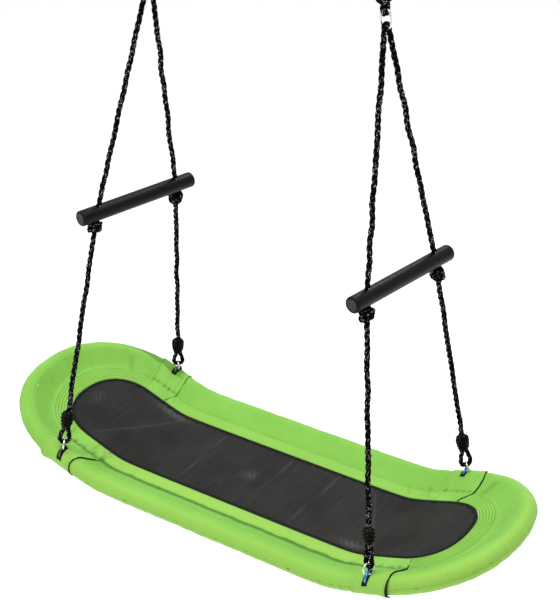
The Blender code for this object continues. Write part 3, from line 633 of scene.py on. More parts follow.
def outline(s, band_rows, tube_rows, last=COVER_LAST, with_bottom=True):
    """Cross-section of a cover: band, sheet up to the tube's top, round the tube and back under it.

    It returns (inward, up) of each point, the angle round the tube, and the distance from the mat's edge.
    """
    reach = rim_at(s)[3][:, None]
    every = np.ones_like(reach)
    first, flat_at = reach - 0.0003, COVER_FOOT + 0.003
    band_a = first + (flat_at - first) * np.linspace(0, 1, band_rows)[None]
    bend = every * np.linspace(0, 1, SHEET_ROWS + 2)[None, 1:-1]
    to_a, to_b = COVER_RADIUS * math.cos(LEAVE), COVER_RADIUS * math.sin(LEAVE)
    mid_a = min(to_a + (to_b - LIE) * math.tan(LEAVE), flat_at - 0.0005)
    sheet_a = (1 - bend) ** 2 * flat_at + 2 * bend * (1 - bend) * mid_a + bend**2 * to_a
    sheet_b = (1 - bend**2) * LIE + bend**2 * to_b
    turn = every * (LEAVE + (last - LEAVE) * np.linspace(0, 1, tube_rows)[None])
    parts_a = [band_a, sheet_a, COVER_RADIUS * np.cos(turn)]
    parts_b = [np.full_like(band_a, LIE), sheet_b, COVER_RADIUS * np.sin(turn)]
    angles = [np.zeros_like(band_a), bend * 0.9 * LEAVE + 2 * BAND_ANGLE, turn]
    if with_bottom:
        under = np.linspace(0, 1, UNDER_ROWS)[None, 1:] ** 1.2
        last_a, last_b = parts_a[-1][:, -1:], parts_b[-1][:, -1:]
        parts_a.append(last_a + (first - last_a) * under)
        parts_b.append(-LIE + (last_b + LIE) * (1 - under) ** 3)
        angles.append(np.full_like(parts_a[-1], 2 * math.pi))
    a = np.concatenate(parts_a, axis=1)
    return a, np.concatenate(parts_b, axis=1), np.concatenate(angles, axis=1), reach - a


def push_out(a, b, amount):
    """Moves each outline along its own normal."""
    step_a, step_b = np.gradient(a, axis=1), np.gradient(b, axis=1)
    size = np.hypot(step_a, step_b) + 1e-12
    return a + amount * step_b / size, b - amount * step_a / size


def run_length(a, b):
    steps = np.hypot(np.diff(a, axis=1), np.diff(b, axis=1))
    return np.concatenate([np.zeros((len(a), 1)), np.cumsum(steps, axis=1)], axis=1)


def tube_folds(s, run, degrees, ends, on_tube):
    """The tube's cloth: slack, gathers and the tucked seam, as how far it stands out and the shade painted
    along the seam, in its tucks and on the gathers.
    """
    slack = SLACK_BROAD * ripples(s, run, 3, 5, 0.16, 0.12) + SLACK_FINE * ripples(s, run, 4, 6, 0.045, 0.09)
    gathers = ripples(s, run, 5, 5, 0.0105, 0.30)
    outside = bell(degrees, 158, 34) * (0.15 + 0.85 * ends)
    grouped = smoothstep(ripples(s, run, 6, 4, 0.10, 0.5), -0.6, 0.5)
    tucks = np.clip(ripples(s, run * 0, 7, 5, 0.024, 1.0) - 0.25, 0, 1) ** 1.5
    relief = slack * on_tube + GATHER * gathers * outside * grouped
    relief = relief - SEAM_GROOVE * bell(degrees, OUTER_SEAM, 2.6)
    relief = relief - TUCK * bell(degrees, OUTER_SEAM - 1, 4.5) * tucks
    relief = relief + SEAM_SWELL * bell(degrees, OUTER_SEAM + 13, 9) * (0.5 + 0.5 * gathers)
    # Painted shade along the seam, in its tucks and on the gathers
    painted_shading = 0.16 * bell(degrees, OUTER_SEAM, 1.8) + 0.95 * bell(degrees, OUTER_SEAM, 2.6) * tucks
    return relief, painted_shading + 0.10 * np.clip(gathers, 0, 1) * outside * ends


def band_slack(s, inside, ends):
    """Puckers of the loose band along the sides, and long waves of the stitched band round the ends."""
    pull = np.clip(0.0004 + PUCKER * ripples(s, inside * 2.0, 8, 6, 0.030, 0.16), -0.0003, 0.0026)
    puckers = (1 - ends) * pull * smoothstep(inside, 0.004, 0.030)
    waves = ends * WAVE * ripples(s, inside, 9, 5, 0.22, 0.10)
    return (puckers + waves) * smoothstep(inside, 0.0, 0.006)


def stitched_rows(inside, ends):
    """Grooves of the stitched rows, the swell between one row and the next, and the shade painted into the
    grooves.
    """
    strength = 0.30 + 0.70 * ends
    groove = strength * sum(bell(inside, place, 0.0012) for place in STITCH_ROWS)
    middles = [(low + high) / 2 for low, high in zip(STITCH_ROWS, STITCH_ROWS[1:])]
    swell = strength * sum(bell(inside, middle, 0.0026) for middle in middles)
    return ROW_SWELL * swell - ROW_GROOVE * groove, 0.42 * groove


def band_foot(s, inside, x):
    """The fold where a side's band meets the foot of the tube, the swell of the band before it, and the shade
    painted into the fold.
    """
    sides = 1 - smoothstep(np.abs(x), 0.42, 0.60)
    wander = 0.0012 * ripples(s, inside * 0, 11, 5, 0.06, 1.0)
    past = inside - (RIM_HALF_WIDTH - MAT_HALF_WIDTH - COVER_FOOT) + 0.0058 + wander
    groove = smoothstep(past, -0.0042, -0.0014) * (1 - smoothstep(past, 0.004, 0.021))
    swell = smoothstep(-past, 0.004, 0.009) * smoothstep(inside, 0.0, 0.020)
    return (FOOT_SWELL * swell - FOOT_GROOVE * groove) * sides, groove * sides


def cover_relief(s, angle, inside, run, in_front):
    """How far the cloth stands out from its plain section, the shade painted into its creases, grooves and
    folds, and how pale it is with painted light on the tube's outer side.
    """
    rim = rim_at(s)[0]
    x, degrees = rim[..., 0], np.degrees(angle)
    on_band, on_tube = angle < BAND_ANGLE, (angle > BAND_ANGLE) & (angle < UNDER_ANGLE)
    ends = smoothstep(np.abs(x), 0.50, 0.60)
    relief, painted_shading = tube_folds(s, run, degrees, ends, on_tube)
    rows_relief, rows_painted_shade = stitched_rows(inside, ends)
    foot_relief, foot_painted_shade = band_foot(s, inside, x)
    relief = relief + (band_slack(s, inside, ends) + rows_relief + foot_relief) * on_band
    # Painted shade in the stitched rows' grooves, and in the band's foot groove: strong on the front, faint on
    # the back
    painted_shading = painted_shading + rows_painted_shade * on_band + (0.80 if in_front else 0.08) * foot_painted_shade
    # Paler band, more so on the front; painted light on the tube's outer side, weaker at the left end and
    # stronger at the right end
    band_tone = smoothstep(inside, 0.0, 0.004) * (1 - smoothstep(inside, 0.036, 0.050))
    lit = 0.75 - 0.5 * smoothstep(-x, 0.45, 0.60) + 0.35 * smoothstep(x, 0.50, 0.64)
    outside = smoothstep(degrees, 88, 128) * (1 - smoothstep(degrees, 215, 240))
    pale_and_painted_light = (1.0 if in_front else 0.45) * band_tone * on_band + lit * outside * on_tube
    # Painted shade in a strip along the inner side of the back-left rim, beyond an edge that moves round the
    # tube
    shade_from = 112 - 52 * smoothstep(-x, 0.66, 0.50)
    shaded = (rim[..., 1] > 0) * smoothstep(-x, 0.66, 0.61) * smoothstep(-x, 0.44, 0.47)
    painted_shading = painted_shading + 0.62 * smoothstep(degrees, shade_from - 3, shade_from + 3) * shaded * on_tube
    under_patch = smoothstep(bell(np.abs(x), (PATCH_START + PATCH_END) / 2, 0.055), 0.35, 0.6)
    return relief * (1 - 0.9 * under_patch), painted_shading, pale_and_painted_light


def fold(s, inside, at, start, stop, lean, width, height):
    """A fold in the band: a ridge across it that leans along the rim."""
    ridge = height * bell(s, at + lean * (inside - start), width)
    begun = smoothstep(inside, start - 0.006, start + 0.006)
    return ridge * begun * (1 - smoothstep(inside, stop - 0.006, stop + 0.006))


def cover(name, first, last, step, band_rows, folds):
    """One cover of the rim, as a cloth folded round the foam with its two edges sewn to the mat."""
    s = np.linspace(first, last, max(8, int((last - first) / step)))
    a, b, angle, inside = outline(s, band_rows, TUBE_ROWS)
    run = run_length(a, b)
    lengths = s[:, None] * np.ones_like(a)
    relief, painted_shading, pale_and_painted_light = cover_relief(lengths, angle, inside, run, "front" in name)
    relief = np.maximum(relief, -DEEPEST)
    top = angle < 1.0
    for at, start, stop, lean, width, height in folds:
        relief = relief + fold(lengths, inside, at, start, stop, lean, width, height) * top
        # Painted shade on one side of each fold
        shade = fold(lengths, inside, at + 1.5 * width, start, stop, lean, width * 0.8, abs(height))
        painted_shading = painted_shading + 85 * shade * top
    a, b = push_out(a, b, np.maximum(relief, -DEEPEST))
    mesh = sheet_mesh(name, in_section(lengths, a, b), np.stack([lengths, run], axis=-1),
                      marks={"painted_shading": painted_shading, "pale_and_painted_light": pale_and_painted_light})
    made = placed("visual_" + name, mesh, "green")
    thicken(made, CLOTH)
    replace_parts(made, name)


def covers():
    """The four covers, each with its folds: place, start, stop, lean along the rim, width and height."""
    front_folds = [(s_at(-1, x), 0.010, 0.046, lean, 0.0050, height) for x, lean, height in (
        (-0.430, 0.55, 0.0034), (-0.405, -0.45, 0.0028), (0.400, -0.5, 0.0026), (0.430, 0.5, 0.0026),
        (0.18, 0.6, 0.0008), (-0.15, -0.5, 0.0008), (-0.32, 0.3, 0.0012))]
    back_folds = [(s_at(1, x), 0.012, stop, lean, 0.0050, height) for x, stop, lean, height in (
        (0.43, 0.062, 0.35, 0.0030), (0.405, 0.050, -0.5, 0.0028), (0.375, 0.055, 0.5, 0.0020),
        (-0.415, 0.085, 0.30, 0.0026), (-0.395, 0.075, -0.2, 0.0018), (0.02, 0.060, 0.5, 0.0006))]
    right_folds = [(s_at(1, 0.600), 0.048, 0.096, -0.30, 0.011, -0.0042),
                   (s_at(-1, 0.60), 0.050, 0.092, 0.25, 0.010, -0.0016)]
    left_folds = [(s_at(1, -0.60), 0.045, 0.092, 0.30, 0.012, -0.0024),
                  (s_at(1, -0.555), 0.012, 0.090, 0.05, 0.004, 0.0022),
                  (s_at(-1, -0.565) + LOOP, 0.012, 0.080, 0.55, 0.008, 0.0026)]
    cover("cover_side_front", s_at(-1, -PAD_END), s_at(-1, PAD_END), 0.0045, 24, front_folds)
    cover("cover_side_back", s_at(1, PAD_END), s_at(1, -PAD_END), 0.0045, 24, back_folds)
    cover("cover_end_right", s_at(-1, BEND_START), s_at(1, BEND_START), 0.0040, 60, right_folds)
    cover("cover_end_left", s_at(1, -BEND_START), s_at(-1, -BEND_START) + LOOP, 0.0040, 60, left_folds)


def edge_shift(where, angle, inside, share):
    """How far the patch's right edge runs on along the rim as it comes over the tube and down to the band."""
    reach, behind, start, stop, power = EDGE_RUN[where]
    part = np.clip((start - np.degrees(angle)) / (start - stop), 0, 1) ** power
    if where.startswith("back"):
        part = part * smoothstep(inside, 0.0, 0.046)
    return (behind + (reach - behind) * part) * share**2


def patch_outline(s):
    a, b, angle, inside = outline(s, *PATCH_ROWS, PATCH_LAST, False)
    return a, b, angle, inside, run_length(a, b)


def patch(end, edge, where):
    """Band of cloth round the rim at a rope point, slotted over the hoop, with a strip of painted shadow along
    its edge to the right.
    """
    slot, right = SLOT_ARC[edge], 1 if edge < 0 else -1
    marks = [PATCH_START, HOOP_X - SLOT_HALF, HOOP_X + SLOT_HALF, PATCH_END]
    start, slot_start, slot_stop, stop = sorted(s_at(edge, end * x) for x in marks)
    middle = (slot_start + slot_stop) / 2
    s = np.concatenate([np.linspace(start, slot_start, 18)[:-1], np.linspace(slot_start, slot_stop, 6)[:-1],
                        np.linspace(slot_stop, stop, 18)])
    a, b, angle, inside, run = patch_outline(s)
    degrees = np.degrees(angle)
    share = smoothstep(right * (s - middle), 0.012, 0.036)[:, None]
    flat = s[:, None] + right * edge_shift(where, angle, inside, share)
    hem = bell(flat, start + PATCH_HEM, 0.0015) + bell(flat, stop - PATCH_HEM, 0.0015)
    loose = bell(flat, start if end * right < 0 else stop, 0.016) * smoothstep(degrees, 80, 190)
    round_slot = (angle > slot[0] - 0.15) & (angle < slot[1] + 0.15)
    slot_edge = bell(np.abs(flat - middle), SLOT_HALF + 0.002, 0.0022) * round_slot
    tuck = np.clip(ripples(flat, run * 0, 25 + end, 4, 0.020, 1.0), 0, 1) * bell(a, COVER_FOOT, 0.008)
    relief = PATCH_LIFT + 0.0005 * ripples(flat, run, 21 + end + 3 * edge, 5, 0.05, 0.05)
    relief = relief - 0.0004 * hem + 0.0008 * slot_edge - 0.0010 * tuck
    relief = relief + (0.0070 if where == "front_left" else 0.0040) * loose
    # Painted shade along the hems, at the band's foot and in the tucks
    painted_shading = 0.25 * hem + 0.30 * bell(a, COVER_FOOT, 0.0040) * (angle < 1.0) + 0.5 * tuck
    if where == "back_left":
        # On the back left: painted shade along the far hem, and past a lit edge round the tube
        painted_shading = painted_shading + 0.35 * bell(flat, stop - PATCH_HEM, 0.0015)
        lit_edge = 72 - 14 * smoothstep(-rim_at(flat)[0][..., 0], 0.53, 0.49)
        painted_shading = painted_shading + 0.62 * smoothstep(degrees, lit_edge - 3, lit_edge + 3) * (1 - share)
    if edge < 0:
        # On the front patches: painted shade in zigzag gathers near the band's foot
        saw = np.abs(flat / 0.017 % 2 - 1)
        inner, outer = COVER_FOOT + 0.020 * saw - 0.003, COVER_FOOT - 0.013 + 0.006 * saw
        gather_shade = smoothstep(a, outer - 0.0012, outer + 0.0012) * (angle < 1.1)
        painted_shading = painted_shading + 0.38 * gather_shade * (1 - smoothstep(a, inner - 0.0012, inner + 0.0012))
    a, b = push_out(a, b, relief + CLOTH)
    lap = 1 - smoothstep(inside, 0.0, 0.004)
    a, b = a + 0.0012 * lap, b * (1 - lap) + 0.0006 * lap
    face_angle = (angle[:-1, :-1] + angle[1:, 1:]) / 2
    face_s = (flat[:-1, :-1] + flat[1:, 1:]) / 2
    skip = (face_angle > slot[0]) & (face_angle < slot[1]) & (face_s > slot_start) & (face_s < slot_stop)
    name = "visual_rope_patch_" + where
    # Paler from the tube's top round its outer side: painted light
    mesh = sheet_mesh(name, in_section(flat, a, b), np.stack([flat, run], axis=-1), skip,
                      marks={"painted_shading": painted_shading, "pale_and_painted_light": 0.6 * smoothstep(degrees, 70, 110)})
    made = placed(name, clean(mesh, solid=False), "patch")
    thicken(made, CLOTH)
    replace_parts(made, "rope_patch_" + where)
    slot_lining_and_shade(where, edge, end)
    painted_edge_shadow(where, stop if edge < 0 else start, right)


def slot_lining_and_shade(where, edge, end):
    """Black cloth under the patch's slot, also standing in for the shade inside the slot."""
    s = np.sort([s_at(edge, end * x) for x in np.linspace(HOOP_X - LINING_HALF, HOOP_X + LINING_HALF, 9)])
    a, b, angle, _ = outline(s, 4, 60, math.radians(192), False)
    first = int(np.argmax(angle[0] > math.radians(42)))
    a, b = push_out(a, b, 0.0004)
    a, b = a[:, first:], b[:, first:]
    lengths = s[:, None] * np.ones_like(a)
    cloth = np.stack([lengths, run_length(a, b)], axis=-1)
    mesh = sheet_mesh("slot_lining_and_shade", in_section(lengths, a, b), cloth)
    thicken(placed("slot_lining_and_shade_" + where, mesh, "tape"), 0.0006)


def painted_edge_shadow(where, at, right):
    """Narrow dark strip over the patch's edge that faces the platform's right end: painted shadow of the gap
    under the patch's edge.
    """
    quiet = where == "back_left"
    a, b, angle, inside, _ = patch_outline(np.full(5, at))
    degrees = np.degrees(angle)
    spread = np.linspace(-0.0014 if quiet else -0.0022, 0.0006, 5)[:, None] * np.ones_like(a)
    # On the front right the painted shadow widens toward the bottom of the tube
    if where == "front_right":
        spread = spread * (1 + 1.6 * smoothstep(degrees, 120, 235)) + 0.004 * smoothstep(degrees, 150, 240)
    flat = at + right * (spread + edge_shift(where, angle, inside, 1.0))
    loose = 0.0036 if where.endswith("right") else 0.0
    a, b = push_out(a, b, PATCH_LIFT + CLOTH + 0.0006 + loose * smoothstep(degrees, 80, 190))
    first = {"front_left": int(np.argmax(degrees[0] > 30)),
             "front_right": int(np.argmax(inside[0] > 0.034))}.get(where, 0)
    a, b, flat = a[::right, first:], b[::right, first:], flat[::right, first:]
    mesh = sheet_mesh("patch_tape", in_section(flat, a, b), np.stack([flat, run_length(a, b)], axis=-1))
    # Black painted shadow on three patches, a faint green painted shade on the back left
    thicken(placed("patch_tape_" + where, mesh, "green_tape" if quiet else "tape"), 0.0024)


# ---------------------------------------------------------------- stitching, binding and mat

def stitches(name, lines, material, length=STITCH):
    """Thread stitches along lines of (points, normals): one object of many small solids."""
    turns = np.arange(6) * math.pi / 3
    swell = np.array([0.35, 1.0, 1.0, 0.35]) * STITCH_RADIUS
    lift = np.array([-0.6, 0.6, 0.6, -0.6])[:, None] * STITCH_RADIUS
    solid = [*grid_faces(4, 6, True), tuple(reversed(range(6))), tuple(range(18, 24))]
    points, faces = [], []
    for line, normals in lines:
        at = lengths_along(line)
        for start in np.arange(int(at[-1] / (length + STITCH_GAP))) * (length + STITCH_GAP):
            places = start + length * np.array([0.0, 0.25, 0.75, 1.0])
            centre = np.stack([np.interp(places, at, line[:, k]) for k in range(3)], axis=1)
            normal = np.stack([np.interp(places, at, normals[:, k]) for k in range(3)], axis=1)
            along = centre[-1] - centre[0]
            side = np.cross(normal, along / np.linalg.norm(along))
            faces += [tuple(len(points) + corner for corner in face) for face in solid]
            ring = rings(centre + lift * normal, swell[:, None] * np.ones(6), turns[None], side[:, None],
                         normal[:, None])
            points += ring.reshape(-1, 3).tolist()
    mesh = bpy.data.meshes.new(name)
    mesh.from_pydata(points, [], faces)
    placed(name, clean(mesh), material)


def band_line(first, last, inside, height=LIE):
    """A line on the band at a distance from the mat's edge, with its normals."""
    s = np.linspace(first, last, max(12, int(abs(last - first) / 0.004)))
    rim, inward, up, reach = rim_at(s)
    return rim + (reach - inside)[:, None] * inward + height * up, up


def cover_stitching():
    tuck_in = 0.545
    spans = {"right": (s_at(-1, tuck_in), s_at(1, tuck_in)),
             "left": (s_at(1, -tuck_in), s_at(-1, -tuck_in) + LOOP)}
    for end_name, span in spans.items():
        stitches("stitching_end_" + end_name, [band_line(*span, inside) for inside in STITCH_ROWS], "thread")
    for edge_name, edge in EDGES.items():
        span = sorted((s_at(edge, -PATCH_START), s_at(edge, PATCH_START)))
        stitches("stitching_side_" + edge_name, [band_line(*span, STITCH_ROWS[0])], "thread")


def binding():
    """Black tape folded over the mat's edge, sewn once round."""
    rows, columns = BINDING_GRID
    s = np.linspace(0, LOOP, rows, endpoint=False)
    turn = np.linspace(0, 2 * math.pi, columns, endpoint=False)
    half = BINDING_WIDTH / 2
    across = half * np.sign(np.cos(turn)) * np.abs(np.cos(turn)) ** 0.6
    height = BINDING_HALF_HEIGHT * np.sign(np.sin(turn)) * np.abs(np.sin(turn)) ** 0.7
    a = rim_at(s)[3][:, None] + 0.0004 + half - across[None]
    b = height[None] + 0.0002 * ripples(s[:, None], a, 31, 4, 0.03, 1.0)
    points = in_section(s[:, None] * np.ones_like(a), a, b)
    points = np.concatenate([points, points[:1]], axis=0)
    around, along = np.meshgrid(np.linspace(0, 0.024, columns), np.linspace(0, LOOP, len(points)))
    mesh = sheet_mesh("visual_mat_binding", points, np.stack([along, around], axis=-1), around=True)
    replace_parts(placed("visual_mat_binding", clean(mesh, weld=True), "tape"), "mat_binding")
    stitches("stitching_mat", [band_line(0.0, LOOP, -0.0078, BINDING_HALF_HEIGHT)], "tape", length=0.0030)


def mat():
    """Woven mat: a stretched sheet with a slight sag, puckers at its binding, folds with painted highlights
    beside them, and dusty smudges with painted glare.
    """
    rows, columns = MAT_GRID
    inset = BINDING_WIDTH - 0.002
    half = MAT_HALF_LENGTH - inset
    x = -half * np.cos(np.linspace(0, math.pi, rows))
    into_end = np.clip((np.abs(x) - BEND_START) / (half - BEND_START), 0, 1)
    width = (MAT_HALF_WIDTH - inset) * (1 - into_end**MAT_ROUNDNESS) ** (1 / MAT_ROUNDNESS)
    part = np.linspace(-1, 1, columns)[None]
    y = width[:, None] * part
    xs = x[:, None] * np.ones_like(y)
    inner = 1 - np.abs(part) ** 2.2 * np.ones_like(y)
    height = -0.0030 * inner * smoothstep(0.60 - np.abs(xs), 0.0, 0.2)
    height = height + 0.0008 * ripples(xs, y, 41, 5, 0.03, 0.5) * bell(np.abs(part), 1.0, 0.22)
    height = height + 0.0010 * ripples(xs, y, 42, 5, 0.20, 0.14) * inner
    mark = np.zeros_like(y)
    folds = ((-0.205, 0.0, 92, 0.0009), (0.16, 0.0, 88, 0.0007), (0.335, 0.02, 118, 0.0011),
             (-0.43, 0.0, 60, 0.0008), (0.02, 0.03, 91, 0.0005))
    for at_x, at_y, heading, size in folds:
        turn = math.radians(heading)
        away = (xs - at_x) * math.sin(turn) - (y - at_y) * math.cos(turn)
        height = height + size * bell(away, 0.0, 0.0035) * inner
        # Painted highlight along one side of each fold
        mark = mark + 0.22 * bell(away, 0.0015, 0.0018) * smoothstep(inner, 0.05, 0.4)
    # Paler smudges: dust with painted glare on it
    smudges = ((-0.40, 0.120, 0.060, 0.011, 0.60), (0.345, -0.112, 0.035, 0.012, 0.55),
               (-0.044, 0.0, 0.022, 0.022, 0.38), (-0.575, 0.0, 0.02, 0.03, 0.20))
    grain = np.clip(0.65 + 0.35 * ripples(xs, y, 47, 6, 0.012, 0.020), 0, 1)
    for at_x, at_y, long, wide, strength in smudges:
        mark = mark + strength * bell(xs, at_x, long) * bell(y, at_y, wide) * grain
    points = np.stack([xs, y, RIM_Z + rise(xs) + height], axis=-1)[1:-1, ::-1]
    mesh = sheet_mesh("visual_seat_mat", points, points[..., :2], marks={"painted_shading": mark[1:-1, ::-1]})
    made = placed("visual_seat_mat", mesh, "mat")
    thicken(made, MAT_THICKNESS, 0.0)
    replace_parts(made, "seat_mat")


# ---------------------------------------------------------------- ropes and rods

def spline(route, step):
    """Points about every step along a smooth curve through a route, as an array."""
    points = [Vector(p) for p in route]
    ends = [points[0] * 2 - points[1], *points, points[-1] * 2 - points[-2]]
    found = []
    for before, here, there, after in zip(ends, ends[1:], ends[2:], ends[3:]):
        count = max(1, round((there - here).length / step))
        for i in range(count):
            t = i / count
            linear = (there - before) * t
            square = (2 * before - 5 * here + 4 * there - after) * t**2
            cubic = (3 * here - before - 3 * there + after) * t**3
            found.append(here + 0.5 * (linear + square + cubic))
    return np.array([*found, points[-1]])


def carried_frames(line, closed):
    """Two directions square to a line at each of its points, turned as little as possible."""
    ahead = np.roll(line, -1, axis=0) if closed else np.concatenate([line[1:], line[-1:]])
    behind = np.roll(line, 1, axis=0) if closed else np.concatenate([line[:1], line[:-1]])
    along = ahead - behind
    along /= np.linalg.norm(along, axis=1)[:, None]
    across = np.array(Vector(along[0]).orthogonal().normalized())
    sides = []
    for direction in along:
        across = across - direction * across.dot(direction)
        across /= np.linalg.norm(across)
        sides.append(across)
    sides = np.array(sides)
    others = np.cross(along, sides)
    if not closed:
        return sides, others
    last = sides[-1] - along[0] * sides[-1].dot(along[0])
    miss = math.atan2(last.dot(others[0]), last.dot(sides[0]))
    back = -miss * np.arange(len(line))[:, None] / len(line)
    return (np.cos(back) * sides + np.sin(back) * others, np.cos(back) * others - np.sin(back) * sides)


def swept_mesh(name, line, radii, turns, closed):
    """A solid round a line: radii and turns are (points, sides)."""
    sides, others = carried_frames(line, closed)
    points = rings(line, radii, turns, sides[:, None], others[:, None])
    return capped_mesh(name, points, None if closed else line[[0, -1]])


def rod(name, line, radius, material, body, closed=False):
    turns = np.linspace(0, 2 * math.pi, ROD_SIDES, endpoint=False)[None]
    mesh = swept_mesh(name, line, np.full((len(line), ROD_SIDES), radius), turns, closed)
    return placed(name, clean(mesh), material, body)


def write_rope_cloth(mesh, at, sides):
    """Cloth coordinates of a rope, where a face across the seam runs on past the rope's girth."""
    along, around = np.meshgrid(at, np.linspace(0, ROPE_GIRTH, sides, endpoint=False), indexing="ij")
    values = np.stack([along, around], axis=-1).reshape(-1, 2)
    picked = np.concatenate([values, [[0, 0], [at[-1], 0]]])[loop_points(mesh)]
    quads = 4 * sum(len(face.vertices) == 4 for face in mesh.polygons)
    wrapped = picked[:quads, 1].reshape(-1, 4)
    crosses = np.ptp(wrapped, axis=1, keepdims=True) > ROPE_GIRTH / 2
    picked[:quads, 1] = np.where(crosses & (wrapped < ROPE_GIRTH / 2), wrapped + ROPE_GIRTH, wrapped).ravel()
    write_cloth(mesh, picked)


def rope(name, line, body, radius=ROPE, closed=False, seed=0):
    """A rope of three strands laid together along a line of points."""
    turns = np.linspace(0, 2 * math.pi, ROPE_SIDES, endpoint=False)
    off = radius * STRAND_OFF
    local = (turns + math.pi / STRANDS) % (2 * math.pi / STRANDS) - math.pi / STRANDS
    section = off * np.cos(local) + np.sqrt((radius * STRAND_RADIUS) ** 2 - (off * np.sin(local)) ** 2)
    at = lengths_along(line)
    lay = LAY * radius / ROPE
    if closed:
        long = at[-1] + np.linalg.norm(line[-1] - line[0])
        lay = long / max(1, round(long / lay * STRANDS)) * STRANDS
    radii = section[None] * (1 + 0.03 * ripples(at, 0.0, seed, 4, 0.05, 1.0))[:, None]
    mesh = swept_mesh(name, line, radii, turns[None] + (2 * math.pi * at / lay)[:, None], closed)
    write_rope_cloth(mesh, at, ROPE_SIDES)
    return placed(name, clean(mesh), "rope", body)


def straight(start, stop, sway, seed):
    """A taut run of rope, a millimetre or two off straight as laid rope is."""
    start, stop = np.array(start), np.array(stop)
    long = np.linalg.norm(stop - start)
    part = np.linspace(0, 1, max(8, int(long / ROPE_STEP)))
    along = (stop - start) / long
    side = np.cross(along, [1.0, 0, 0])
    side /= np.linalg.norm(side)
    fade = (smoothstep(part, 0, 0.08) * smoothstep(1 - part, 0, 0.08) * sway)[:, None]
    away = ripples(part * long, 0.0, seed, 4, 0.11, 1.0)[:, None] * side
    away = away + ripples(part * long, 0.0, seed + 50, 4, 0.13, 1.0)[:, None] * np.cross(along, side)
    return start + part[:, None] * (stop - start) + fade * away


def joined(name, pieces):
    """One piece from several solids of the same material."""
    bm = bmesh.new()
    for piece in pieces:
        bm.from_mesh(piece.data)
    made, rest = pieces[0], pieces[1:]
    bm.to_mesh(made.data)
    bm.free()
    for piece in rest:
        bpy.data.objects.remove(piece)
    made.name = made.data.name = name
    return made


def knot(name, centre, axis, spin, body):
    """Stopper knot: turns of the rope laid across each other round the standing part."""
    centre, axis = np.array(centre), np.array(axis)
    across = np.array(Vector(axis).orthogonal().normalized())
    other = np.cross(axis, across)
    wide = KNOT_HALF_WIDTH - KNOT_ROPE - 0.0004
    turns = []
    for number, (tilt, size, shift) in enumerate(KNOT_TURNS):
        heading = spin + number * 2 * math.pi / len(KNOT_TURNS)
        level = math.cos(heading) * across + math.sin(heading) * other
        steep = np.cross(axis, level) * math.cos(tilt) + axis * math.sin(tilt)
        line = circle_line(centre + axis * shift, wide * size, level, steep, 64)
        turns.append(rope(name + "_turn", line, body, KNOT_ROPE, closed=True, seed=number))
    core = straight(centre - axis * KNOT_CORE_HALF, centre + axis * KNOT_CORE_HALF, 0.0, 0)
    made = joined("visual_" + name, [*turns, rope(name + "_core", core, body, KNOT_CORE)])
    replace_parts(made, name)
    return made


def circle_line(centre, radius, first, second, count=72):
    t = np.linspace(0, 2 * math.pi, count, endpoint=False)[:, None]
    return np.array(centre) + radius * (np.cos(t) * np.array(first) + np.sin(t) * np.array(second))


def half_turn(centre, radius, side, up):
    """Points over the top of a circle, from against one direction round to along it."""
    return [centre + radius * (-math.cos(t) * side + math.sin(t) * up) for t in np.radians(range(0, 181, 30))]


# ---------------------------------------------------------------- where the fittings are

def hoop_place(end, edge, radius, angle):
    s = np.array([s_at(edge, end * HOOP_X)])
    across, height = np.array([radius * math.cos(angle)]), np.array([radius * math.sin(angle)])
    return Vector(in_section(s, across, height)[0])


def handle_centre(end):
    return Vector((end * HANDLE_X, 0, HANDLE_Z[end]))


def handle_axis(end):
    return Vector((math.sin(HANDLE_TURN[end]), math.cos(HANDLE_TURN[end]), 0))


def hole_centre(end, edge):
    return handle_centre(end) + handle_axis(end) * edge * HOLE_OFFSET


def apex(end):
    """Where a side's two ropes meet over the clip's lower bar, and the direction that they pull in."""
    centre = Vector((end * APEX_X, 0, APEX_Z))
    middle = (hole_centre(end, -1) + hole_centre(end, 1)) / 2
    return centre, (centre - middle).normalized()


# ---------------------------------------------------------------- fittings

def hoop(end, edge, where):
    """Steel bow welded to the frame tube, which stands out of the patch's slot."""
    before, after = HOOP_BOW[edge]
    bow = [*before, (math.degrees(HOOP_TOP[1]), HOOP_TOP[0]), *after]
    weld = TUBE_RADIUS + 0.0005
    bow = [(bow[0][0], weld), *bow, (bow[-1][0], weld)]
    line = spline([hoop_place(end, edge, radius, math.radians(degrees)) for degrees, radius in bow], ROD_STEP)
    # The same steel on all four hoops, painted blue as a reflection on the right and dark as shade on the left
    made = rod("visual_frame_hoop_" + where, line, HOOP_ROD, "steel_painted_blue" if end > 0 else "steel_painted_dark",
               "platform")
    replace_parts(made, "frame_hoop_" + where)


def clamp(where, bottom, axis, across, body):
    """Ribbed barrel pressed over both strands, its ribs leaning like the turns of a whipping."""
    bottom, axis, across = np.array(bottom), np.array(axis), np.array(across)
    long = CLAMP_FIT[where][1]
    rows, sides = CLAMP_GRID
    part = np.linspace(0, 1, rows)
    turns = np.linspace(0, 2 * math.pi, sides, endpoint=False)
    stops, widths = zip(*CLAMP_BARREL)
    base = np.interp(part, stops, widths)
    base = np.convolve(np.pad(base, 4, mode="edge"), np.full(9, 1 / 9), mode="valid")
    base[0], base[-1] = widths[0], widths[-1]
    phase = (part[:, None] * long + CLAMP_LEAN * np.cos(turns - 0.6)[None]) / CLAMP_RIB
    ribbed = smoothstep(part, 0.06, 0.16) * (1 - smoothstep(part, 0.84, 0.93))
    rib = np.abs(np.sin(math.pi * phase)) ** 0.75
    radii = base[:, None] + CLAMP_RIB_DEPTH * (rib - 0.70) * ribbed[:, None]
    radii = radii * (1 + 0.06 * np.cos(2 * turns))[None]
    line = bottom + part[:, None] * long * axis
    points = rings(line, radii, turns[None], across, np.cross(axis, across))
    mesh = clean(capped_mesh("clamp", points, line[[0, -1]]))
    made = placed("visual_rope_clamp_" + where, mesh, "clamp", body)
    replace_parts(made, "rope_clamp_" + where)
    return made


